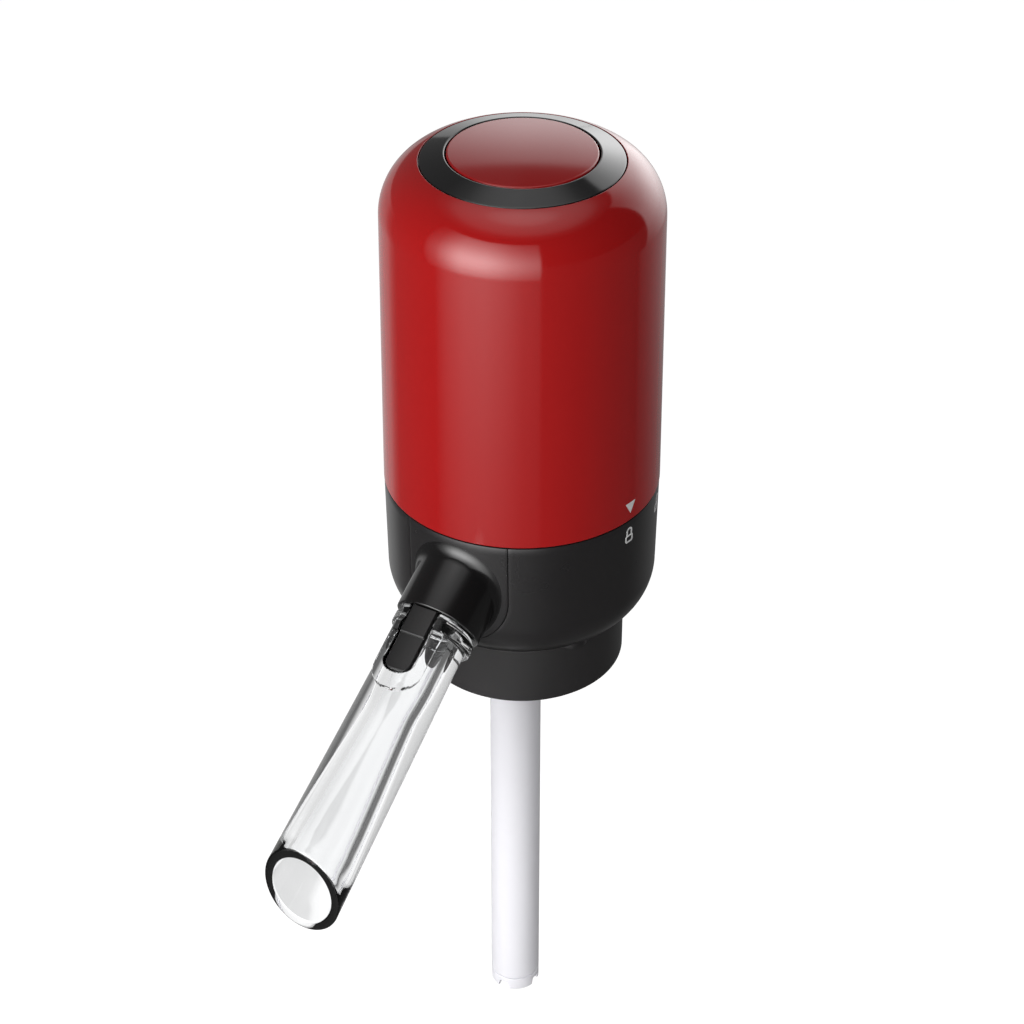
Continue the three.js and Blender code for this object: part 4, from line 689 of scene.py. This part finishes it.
def beside_spout(along, radius, turn):
    """Points round the spout's axis, which slopes down at 30 degrees towards -Y: along is the
    distance from the body's axis, and turn is measured from the upper side."""
    out = along * np.cos(slope) + radius * np.cos(turn) * np.sin(slope)
    up = radius * np.cos(turn) * np.cos(slope) - along * np.sin(slope)
    side = radius * np.sin(turn) + 0 * along
    return np.stack((side, -out + 0 * side, spout_axis_level + up + 0 * side), axis=-1)


def meets_collar(radius, turn, sink):
    """Where a line beside the spout's axis leaves the collar, found by halving an interval."""
    near, far = np.zeros_like(turn), np.full_like(turn, boss_mouth + boss_outer)
    for _ in range(40):
        middle = (near + far) / 2
        point = beside_spout(middle, radius, turn)
        inside = np.hypot(point[..., 0], point[..., 1]) < collar_radius(point[..., 2]) - sink
        near, far = np.where(inside, middle, near), np.where(inside, far, middle)
    return near


notch_side = np.array((notch_half_turn - notch_blend, notch_half_turn))
boss_turn = np.linspace(0, 360, 120, endpoint=False)
boss_turn = boss_turn[np.abs(np.abs(boss_turn - 180) - (180 - notch_half_turn)) > notch_clearance]
boss_turn = np.radians(np.sort(np.concatenate((boss_turn, notch_side, 360 - notch_side))))
in_notch = np.minimum(boss_turn, 2 * np.pi - boss_turn) < np.radians(notch_half_turn - notch_blend / 2)
sunk_mouth = boss_mouth - notch_depth * in_notch
flare = flare_top + (flare_bottom - flare_top) * (1 - np.cos(boss_turn)) / 2
flare_root = meets_collar(boss_outer, boss_turn, 0)
flare_rim = meets_collar(boss_outer + flare, boss_turn, flare_sink)
flare_start = np.minimum(flare_root + flare, boss_mouth - 2 * boss_edge)
share = np.linspace(1, 0, 15)[:, None]
flare_along = (1 - share) ** 2 * flare_start + 2 * share * (1 - share) * flare_root + share**2 * flare_rim
flare_radius = boss_outer + flare * share**2
edge_turn = np.linspace(0, np.pi / 2, 5)[:, None]
edge_along = boss_mouth - boss_edge * (1 - np.sin(edge_turn)) + 0 * boss_turn
edge_radius = boss_outer - boss_edge * (1 - np.cos(edge_turn)) + 0 * boss_turn
boss_rings = (
    (boss_mouth, notch_high + 0.01),
    (sunk_mouth, notch_high),
    (sunk_mouth, notch_low),
    (sunk_mouth - 0.2, socket_radius),
    (socket_end, socket_radius),
    (socket_end, elbow_hole),
    (boss_back, elbow_hole),
    (boss_back, boss_outer - back_inset),
)
boss_skin = np.vstack(
    [
        beside_spout(flare_rim - root_sink, boss_outer - root_inset, boss_turn)[None],
        beside_spout(flare_along, flare_radius, boss_turn),
        beside_spout(edge_along, edge_radius, boss_turn),
    ]
    + [beside_spout(along, radius, boss_turn)[None] for along, radius in boss_rings]
)
carrier_boss = piece_from("carrier_boss", (boss_skin, True, True))
polished_boss = plastic(
    "gloss black ABS", (0.008, 0.0075, 0.0077), 0.17, grain=0.001, grain_scale=900, drift=0.04
)
fit(carrier_boss, "base", "collar_black", polished_boss, "spout_carrier")

panel_half = window_half_width - panel_gap
panel_levels = levels_from(window_centre - panel_half, panel_half)
panel = piece_from("carrier_panel", (wall_sheet(panel_levels, panel_half, True, 49), False, False))
walled(panel, collar_wall, 0.15)
fit(panel, "base", "collar_black", satin_black)
lip_reach, lip_clearance, lip_thickness = 1.6, 0.3, 1.3
lip_half = window_half_width + lip_reach
lip_levels = levels_from(window_centre - lip_half + lip_reach, lip_half)
lip_sheet = wall_sheet(lip_levels, lip_half, True, 33)
lip_scale = (collar_radius(lip_levels) - collar_wall - lip_clearance) / collar_radius(lip_levels)
lip_sheet[..., :2] *= lip_scale[:, None, None]
lip = piece_from("carrier_lip", (lip_sheet, False, False))
walled(lip, lip_thickness, 0.1)
fit(lip, "base", "collar_black", satin_black)

# Spout latch: a springy black tongue, rounded at its tip, stepped down once, that holds the spout
# in the boss. Its root runs into a notch in the boss's mouth.
latch_half, latch_root, latch_tip = 2.9, 40.3, 58.3
latch_low, latch_top, latch_step, latch_step_drop, latch_root_top = 7.2, 9.1, 49.3, 0.4, 8.2
latch_tip_run, latch_tip_drop, latch_edge = 0.7, 0.25, 0.25
spout_start = 43.0
latch_black = plastic("latch black", (0.006, 0.0058, 0.006), 0.36, grain=0.02, grain_scale=1800, drift=0.08)


def ramp(value, start, width):
    """A smooth step from 0 to 1 that begins at start and takes that width."""
    share = np.clip((value - start) / width, 0, 1)
    return share * share * (3 - 2 * share)


def tongue(along, half_width, low, high, edge, steps=4):
    """A bar along the spout: its section is a rectangle with rounded corners, and half width, low
    and high faces are given for each place along it."""
    quarter = np.radians(np.linspace(0, 90, steps + 1))
    corner = [(1, 1, 0), (-1, 1, 90), (-1, -1, 180), (1, -1, 270)]
    side, rise = [], []
    middle, half_height = (low + high) / 2, (high - low) / 2
    edge = np.minimum(edge, 0.95 * np.minimum(half_width, half_height))
    for sign_x, sign_y, turn in corner:
        angle = quarter[:, None] + np.radians(turn)
        side.append(sign_x * (half_width - edge) + edge * np.cos(angle))
        rise.append(middle + sign_y * (half_height - edge) + edge * np.sin(angle))
    side, rise = np.vstack(side), np.vstack(rise)
    return beside_spout(along + 0 * side, np.hypot(side, rise), np.arctan2(side, rise))


tip_turn = np.radians(np.linspace(0, 90, 12))[1:]
latch_round = latch_half - 0.3
latch_along = np.concatenate((
    (latch_root, latch_root + 0.15, spout_start - 0.02, spout_start + 0.02, spout_start + 0.2),
    np.linspace(spout_start + 1, latch_step - 0.3, 6),
    latch_step + np.linspace(0, 0.5, 6),
    np.linspace(latch_step + 1, latch_tip - latch_round, 6),
    latch_tip - latch_round + latch_round * np.sin(tip_turn),
))
from_round = np.clip(latch_along - (latch_tip - latch_round), 0, latch_round)
latch_width = latch_half - latch_round + np.sqrt(latch_round**2 - from_round**2 + 1e-4)
latch_width = np.where(latch_along < latch_root + 0.1, latch_half - 0.2, latch_width)
latch_high = np.where(latch_along < spout_start, latch_root_top, latch_top)
latch_high = latch_high - latch_step_drop * ramp(latch_along, latch_step, 0.35)
latch_high = latch_high - latch_tip_drop * ramp(latch_along, latch_tip - latch_tip_run, latch_tip_run)
latch_grid = tongue(latch_along, latch_width, latch_low + 0 * latch_along, latch_high, latch_edge)
latch = piece_from("latch_tongue", (end_capped(latch_grid), True, False))
fit(latch, "spout", "skirt_black", latch_black, "spout_latch")

# Pouring spout: clear acrylic, turned and polished, cut off upright at its end. A flange stands
# just outside the boss, a raised pad on top frames the latch, and the bore widens to the mouth.
spigot_radius, flange_radius, groove_radius = 6.35, 9.2, 8.5
groove_stop, flange_stop = 43.9, 46.5
neck_radius, spout_tip_radius, spout_reach = 8.05, 9.17, 92.7
bore_radius, mouth_radius, tip_edge, mouth_edge = 4.2, 7.2, 0.35, 0.3
slant_start = 66
pad_half, pad_stop, pad_radius = 5.2, 62.4, 9.4
slot_half, slot_stop, slot_floor = 3.2, 58.6, 6.9
o_ring_groove, o_ring_groove_start, o_ring_groove_stop = 5.4, 34.8, 36.4
spigot_end = socket_end + 0.3
middle_reach = spout_reach / np.cos(slope)
clear_acrylic = plastic(
    "clear acrylic", (0.97, 0.975, 0.98), 0.01, grain=0.0006, grain_scale=500, drift=0.01,
    Transmission_Weight=1.0, IOR=1.49,
)
outside = outline((
    (bore_radius, spigot_end, 0.2),
    (spigot_radius, spigot_end, 0.4),
    (spigot_radius, o_ring_groove_start, 0.1),
    (o_ring_groove, o_ring_groove_start, 0.1),
    (o_ring_groove, o_ring_groove_stop, 0.1),
    (spigot_radius, o_ring_groove_stop, 0.1),
    (spigot_radius, spout_start, 0.2),
    (groove_radius, spout_start, 0.2),
    (groove_radius, groove_stop, 0.25),
    (flange_radius, groove_stop, 0.35),
    (flange_radius, flange_stop, 0.9),
    (neck_radius, flange_stop, 0.7),
    (neck_radius + 0.14, 56, 0),
), closed=False)
neck_rows = np.linspace(48.0, slant_start, 91)
far_rows = np.linspace(slant_start + 2, middle_reach - 1, 26)
neck_rows = neck_rows[neck_rows > outside[-2, 1] + 0.2]
taper_rows = np.concatenate((neck_rows, far_rows))
taper = neck_radius + (
    (spout_tip_radius - neck_radius) * (taper_rows - flange_stop) / (middle_reach - flange_stop)
)
end_outer = arc(spout_tip_radius - tip_edge, middle_reach - tip_edge, tip_edge, 0, 90, 5)[:, :2]
end_inner = arc(mouth_radius + mouth_edge, middle_reach - mouth_edge, mouth_edge, 90, 180, 4)[:, :2]
bore_stop = middle_reach - 2
bore_rows = np.linspace(bore_stop, spout_start, 30)
bore_places = (spout_start, 58, 65, 72, 79, 86, 95, 101, bore_stop)
bore_shares = (0, 0, -0.13, 0, 0.15, 0.3, 0.5, 0.7, 0.93)
bore = bore_radius + (mouth_radius - bore_radius) * np.interp(bore_rows, bore_places, bore_shares)
spout_profile = np.vstack((
    outside[:-1],
    np.stack((taper, taper_rows), 1),
    end_outer,
    end_inner,
    np.stack((bore, bore_rows), 1),
    (bore_radius, (spout_start + socket_end) / 2),
))
fine_half = 46
fine = np.linspace(-fine_half, fine_half, 93)
coarse = np.linspace(fine_half, 360 - fine_half, 91)[1:-1]
spout_turn = np.radians(np.concatenate((fine, coarse)))
profile_radius, profile_along = spout_profile[:, :1], spout_profile[:, 1:2]
is_outer = np.arange(len(spout_profile))[:, None] < len(spout_profile) - len(bore_rows) - 1 - len(end_inner)
side_of = profile_radius * np.sin(spout_turn)
round_left = np.clip(profile_along - (pad_stop - pad_half), 0, None)
pad_distance = np.hypot(side_of, round_left) - pad_half
slot_round = np.clip(profile_along - (slot_stop - slot_half), 0, None)
slot_distance = np.hypot(side_of, slot_round) - slot_half
on_top = (np.cos(spout_turn) > 0) & (profile_along > spout_start - 0.01) & is_outer
wall_run = 0.3
pad_share = np.where(on_top, 1 - ramp(pad_distance, -wall_run / 2, wall_run), 0)
slot_share = np.where(on_top, 1 - ramp(slot_distance, -wall_run / 2, wall_run), 0)
raised = profile_radius + (pad_radius - profile_radius) * pad_share
floor_radius = slot_floor / np.maximum(np.cos(spout_turn), 0.5)
surface_radius = raised + (floor_radius - raised) * slot_share
end_shift = np.clip((profile_along - slant_start) / (middle_reach - slant_start), 0, 1)
end_plane = (spout_reach - surface_radius * np.cos(spout_turn) * np.sin(slope)) / np.cos(slope)
surface_along = profile_along + end_shift * (end_plane - middle_reach)
spout_grid = beside_spout(surface_along, surface_radius, spout_turn + 0 * surface_along)
spout = piece_from("clear_spout", (spout_grid, True, True))
fit(spout, "spout", "clear_acrylic", clear_acrylic, "pouring_spout")

# Bottle sleeve: a matte black skirt over the bottle's lip, with an inward flange that carries it
# under the collar.
sleeve_inner, sleeve_outer, sleeve_foot, sleeve_flange = 20.6, 23.2, -10.0, 1.5
stem_hole, collar_gap = 6.0, 0.3
matte_black = plastic(
    "matte black", (0.0165, 0.0150, 0.0156), 0.5, grain=0.012, grain_scale=2400, drift=0.05
)


def under(radius):
    """The level at a gap below the collar's foot, which is a quarter circle."""
    out = np.clip(radius - collar_round_centre, 0, None)
    return collar_round_level - np.sqrt(collar_rounding**2 - out**2) - collar_gap


sleeve_profile = outline((
    (stem_hole, sleeve_flange, 0),
    (sleeve_inner, sleeve_flange, 0.4),
    (sleeve_inner, sleeve_foot, 0.5),
    (sleeve_outer, sleeve_foot, 0.35),
    (sleeve_outer, under(sleeve_outer), 0.1),
    (sleeve_inner, under(sleeve_inner), 0),
    (collar_round_centre, under(collar_round_centre), 0),
    (stem_hole, under(collar_round_centre), 0),
))
sleeve = piece_from("sleeve_skirt", (turned(sleeve_profile, 160), True, True))
fit(sleeve, "base", "skirt_black", matte_black, "bottle_sleeve")

# Gasket and stopper: soft pale silicone, one ring on the bottle's lip and a ribbed plug in its
# neck.
soft_silicone = plastic(
    "pale silicone", (0.62, 0.61, 0.64), 0.5, grain=0.01, grain_scale=1500, Subsurface_Weight=0.3,
    Subsurface_Scale=0.002,
)
gasket_inner, gasket_outer, gasket_top = 10.6, 15.8, 1.2
plug_bore, plug_head, plug_neck, plug_root, plug_tip, plug_foot = 5.2, 10.2, 9.2, 8.35, 8.1, -18.2
rib_levels, rib_inner, rib_outer, rib_slant = (-4.4, -8.8, -13.2), 9.0, 9.9, 1.1
gasket_profile = outline((
    (gasket_inner, 0, 0.2),
    (gasket_outer, 0, 0.2),
    (gasket_outer, gasket_top, 0.2),
    (gasket_inner, gasket_top, 0.2),
))
gasket = piece_from("gasket_ring", (turned(gasket_profile, 96), True, True))
fit(gasket, "base", "silicone", soft_silicone, "lip_gasket")
rib_corners = [
    ((rib_inner, level, 0.15), (rib_outer, level, 0.2), (plug_root, level - rib_slant, 0.2))
    for level in rib_levels
]
stopper_profile = outline(np.vstack((
    (plug_bore, gasket_top, 0.2),
    (plug_head, gasket_top, 0.3),
    (plug_head, 0, 0.2),
    (plug_neck, 0, 0.2),
    *rib_corners,
    (plug_tip, plug_foot, 0.8),
    (plug_bore, plug_foot, 0.2),
)))
stopper = piece_from("ribbed_stopper", (turned(stopper_profile, 96), True, True))
fit(stopper, "base", "silicone", soft_silicone, "neck_stopper")

# Dip tube: three milky plastic tubes that slide in each other, the innermost with a notched foot.
# They hang on a white stem, off the bottle's axis.
tube_axis = (0.0, -2.8)
milky = plastic(
    "milky plastic", (0.94, 0.93, 0.985), 0.34, grain=0.003, grain_scale=700, drift=0.01,
    Subsurface_Weight=0.2, Subsurface_Scale=0.002, Subsurface_Radius=(1, 1, 1),
)
tube_low = -110.4
for name, body, node, bore_at, radius_at, high in (
    ("tube_outer_stage", "base", "outer_dip_tube", 5.15, 5.9, -18.8),
    ("tube_middle_stage", "middle_stage", "middle_dip_tube", 4.15, 4.8, -32.0),
):
    stage_profile = outline((
        (bore_at, tube_low, 0.15),
        (radius_at, tube_low, 0.2),
        (radius_at, high, 0.2),
        (bore_at, high, 0.15),
    ))
    stage = piece_from(name, (turned(stage_profile, 72, centre=tube_axis), True, True))
    fit(stage, body, "tube_milky", milky, node)
foot_low, foot_high, foot_bore, foot_radius, inner_radius, inner_high = -114.1, -110.7, 3.15, 5.9, 3.8, -34.0
foot_profile = outline((
    (foot_bore, foot_low, 0.15),
    (foot_radius, foot_low, 0.3),
    (foot_radius, foot_high, 0.3),
    (inner_radius, foot_high, 0.2),
    (inner_radius, inner_high, 0.15),
    (foot_bore, inner_high, 0.15),
))
notch_half_width, notch_height = 1.3, 2.0
foot_grid = turned(foot_profile, 144, centre=tube_axis)
foot_x, foot_y = foot_grid[..., 0] - tube_axis[0], foot_grid[..., 1] - tube_axis[1]
foot_azimuth, foot_reach = np.arctan2(foot_y, foot_x), np.hypot(foot_x, foot_y)
quarter_turn = (foot_azimuth + np.pi / 4) % (np.pi / 2) - np.pi / 4
beside_notch = np.abs(foot_reach * np.sin(quarter_turn))
notched = 1 - ramp(beside_notch, notch_half_width - 0.1, 0.2)
lifted = np.maximum(foot_grid[..., 2], foot_low + notch_height * notched)
foot_grid[..., 2] = np.where(foot_grid[..., 2] < foot_high - 0.5, lifted, foot_grid[..., 2])
inner_stage = piece_from("tube_inner_stage", (foot_grid, True, True))
fit(inner_stage, "inner_stage", "tube_milky", milky, "inner_dip_tube")

# Marks: printed in white beside the seam, a triangle on the housing and two small padlocks on the
# collar, shut and open, that say which way the twist lock turns.
print_white = plastic("printed white", (0.82, 0.82, 0.82), 0.5, grain=0.002)
mark_lift, mark_azimuth, twist_travel = 0.04, -10.8, 26


def on_wall(sideways, level, azimuth, radius):
    """Flat drawing wrapped on an upright round wall: sideways becomes arc length."""
    turn = np.radians(azimuth) + sideways / radius
    return np.stack((radius * np.cos(turn), radius * np.sin(turn), level + 0 * turn), -1)


def printed(name, body, slot_name, *grids):
    """Thin print: every drawing has its front on the wall's lift and its back inside the wall."""
    surfaces = []
    for sideways, level, azimuth, radius in grids:
        front = on_wall(sideways, level, azimuth, radius + mark_lift)
        back = on_wall(sideways, level, azimuth, radius - mark_lift)
        ring_front = np.concatenate((front, back[:, ::-1]), axis=1)
        closing = [end.mean(1, keepdims=True) + 0 * end for end in (ring_front[:1], ring_front[-1:])]
        loops = np.concatenate((closing[0], ring_front, closing[1]))
        surfaces.append((loops, False, True))
    piece = piece_from(name, *surfaces)
    fit(piece, body, slot_name, print_white)


def wall_radius(level):
    """The red wall's radius: a straight taper from the foot to the shoulder."""
    rise = (level - housing_foot) / (shoulder_level - housing_foot)
    return housing_foot_radius + (shoulder_centre + shoulder_radius - housing_foot_radius) * rise


triangle_rows = np.linspace(0, 1, 6)[:, None]
triangle_width, triangle_height, triangle_tip = 3.2, 2.7, 39.1
triangle_side = (triangle_rows * triangle_width / 2 + 0.03) * np.linspace(-1, 1, 9)
triangle_level = triangle_tip + triangle_height * triangle_rows + 0 * triangle_side
printed(
    "twist_pointer", "housing", "inner_white",
    (triangle_side, triangle_level, mark_azimuth, wall_radius(triangle_level)),
)


def padlock(azimuth, top, opened):
    """Outline of a padlock: a round-cornered body ring and a shackle, a half ring on two legs."""
    height, body_half, body_height, stroke, arch_outer, power = 3.9, 1.25, 2.0, 0.42, 0.95, 0.45
    turn = np.radians(np.linspace(0, 360, 49))
    round_side = np.sign(np.cos(turn)) * np.abs(np.cos(turn)) ** power
    round_rise = np.sign(np.sin(turn)) * np.abs(np.sin(turn)) ** power
    inset = np.array((1.0, (body_half - stroke) / body_half))[:, None]
    body_side = body_half * inset * round_side
    middle = top - height + body_height / 2
    body_level = middle + (
        (body_height / 2) * np.where(inset == 1, 1, 1 - 2 * stroke / body_height) * round_rise
    )
    arch = np.radians(np.linspace(0, 180, 25))
    arch_radius = np.array((arch_outer, arch_outer - stroke))[:, None]
    shift = arch_outer if opened else 0
    arch_side = shift + np.hstack((arch_radius, arch_radius * np.cos(arch), -arch_radius))
    leg_low = middle + body_height / 2 - stroke / 2 + 0 * arch_radius
    arch_level = np.hstack((leg_low, top - arch_outer + arch_radius * np.sin(arch), leg_low))
    return [
        (body_side.T, body_level.T, azimuth, collar_radius(body_level.T)),
        (arch_side.T, arch_level.T, azimuth, collar_radius(arch_level.T)),
    ]


padlock_top = 35.2
printed("lock_mark_shut", "base", "inner_white", *padlock(mark_azimuth, padlock_top, False))
printed("lock_mark_open", "base", "inner_white", *padlock(mark_azimuth + twist_travel, padlock_top, True))

# Return spring: zinc-plated wire wound between the switch board and the button, with its end turns
# laid flat.
spring_low, spring_high, coil_radius, wire_radius, coil_turns, flat_turn = 98.97, 113.13, 8.0, 0.45, 5.4, 0.7
bright_zinc = plastic("bright zinc", (0.5, 0.51, 0.53), 0.3, grain=0.004, grain_scale=3000, Metallic=1.0)
turn_count = np.linspace(0, coil_turns, 131)
round_wire = np.radians(np.arange(0, 360, 30))[:, None]
rise = np.clip((turn_count - flat_turn) / (coil_turns - 2 * flat_turn), 0, 1)
wire_level = spring_low + wire_radius + (spring_high - spring_low - 2 * wire_radius) * rise
reach_out = coil_radius + wire_radius * np.cos(round_wire)
coil = np.stack((
    reach_out * np.cos(2 * np.pi * turn_count),
    reach_out * np.sin(2 * np.pi * turn_count),
    wire_level + wire_radius * np.sin(round_wire),
), axis=2)
spring = piece_from("return_spring", (end_capped(coil), True, False))
fit(spring, "housing", "steel", bright_zinc, "button_spring")
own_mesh(spring)

# What stands inside: the pump, the motor, the cells, the switch and the wine's way keep their
# solids, and each gets the finish of its real material.
inner_finishes = {
    "seal_black": plastic("nitrile rubber", (0.02, 0.02, 0.02), 0.6, grain=0.01),
    "inner_grey": plastic("grey moulding", (0.09, 0.1, 0.11), 0.5, grain=0.012, grain_scale=1600),
    "inner_white": plastic("white moulding", (0.7, 0.7, 0.68), 0.45, grain=0.01, grain_scale=1600),
    "steel": bright_zinc,
    "magnet": plastic("sintered ferrite", (0.05, 0.05, 0.055), 0.75, grain=0.02, grain_scale=2500),
    "winding": plastic(
        "enamelled copper", (0.45, 0.18, 0.06), 0.3, grain=0.05, grain_scale=1500, Metallic=0.9
    ),
    "board_green": plastic("solder mask", (0.02, 0.12, 0.05), 0.35, grain=0.01, grain_scale=1200),
    "cell_jacket": plastic(
        "cell jacket", (0.12, 0.15, 0.19), 0.3, grain=0.004, grain_scale=900, Metallic=0.4
    ),
    "silicone": soft_silicone,
    "skirt_black": matte_black,
}
family = (
    ("seal_black", ("o_ring", "wine_elbow", "diaphragm")),
    ("steel", ("screw", "contact", "shaft", "spring", "tilt_pin", "motor_can")),
    ("inner_grey", ("deck", "chassis", "battery_cap")),
    ("silicone", ("hose", "inlet_seal")),
    ("magnet", ("magnet",)),
    ("winding", ("armature",)),
    ("board_green", ("switch_board",)),
    ("cell_jacket", ("battery_cell",)),
    ("skirt_black", ("switch_body", "end_cap")),
    ("inner_white", ("",)),
)
for name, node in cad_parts.items():
    if name in replaced:
        continue
    finish = next(slot for slot, words in family if any(word in name for word in words))
    node.data.materials.clear()
    node.data.materials.append(inner_finishes[finish])
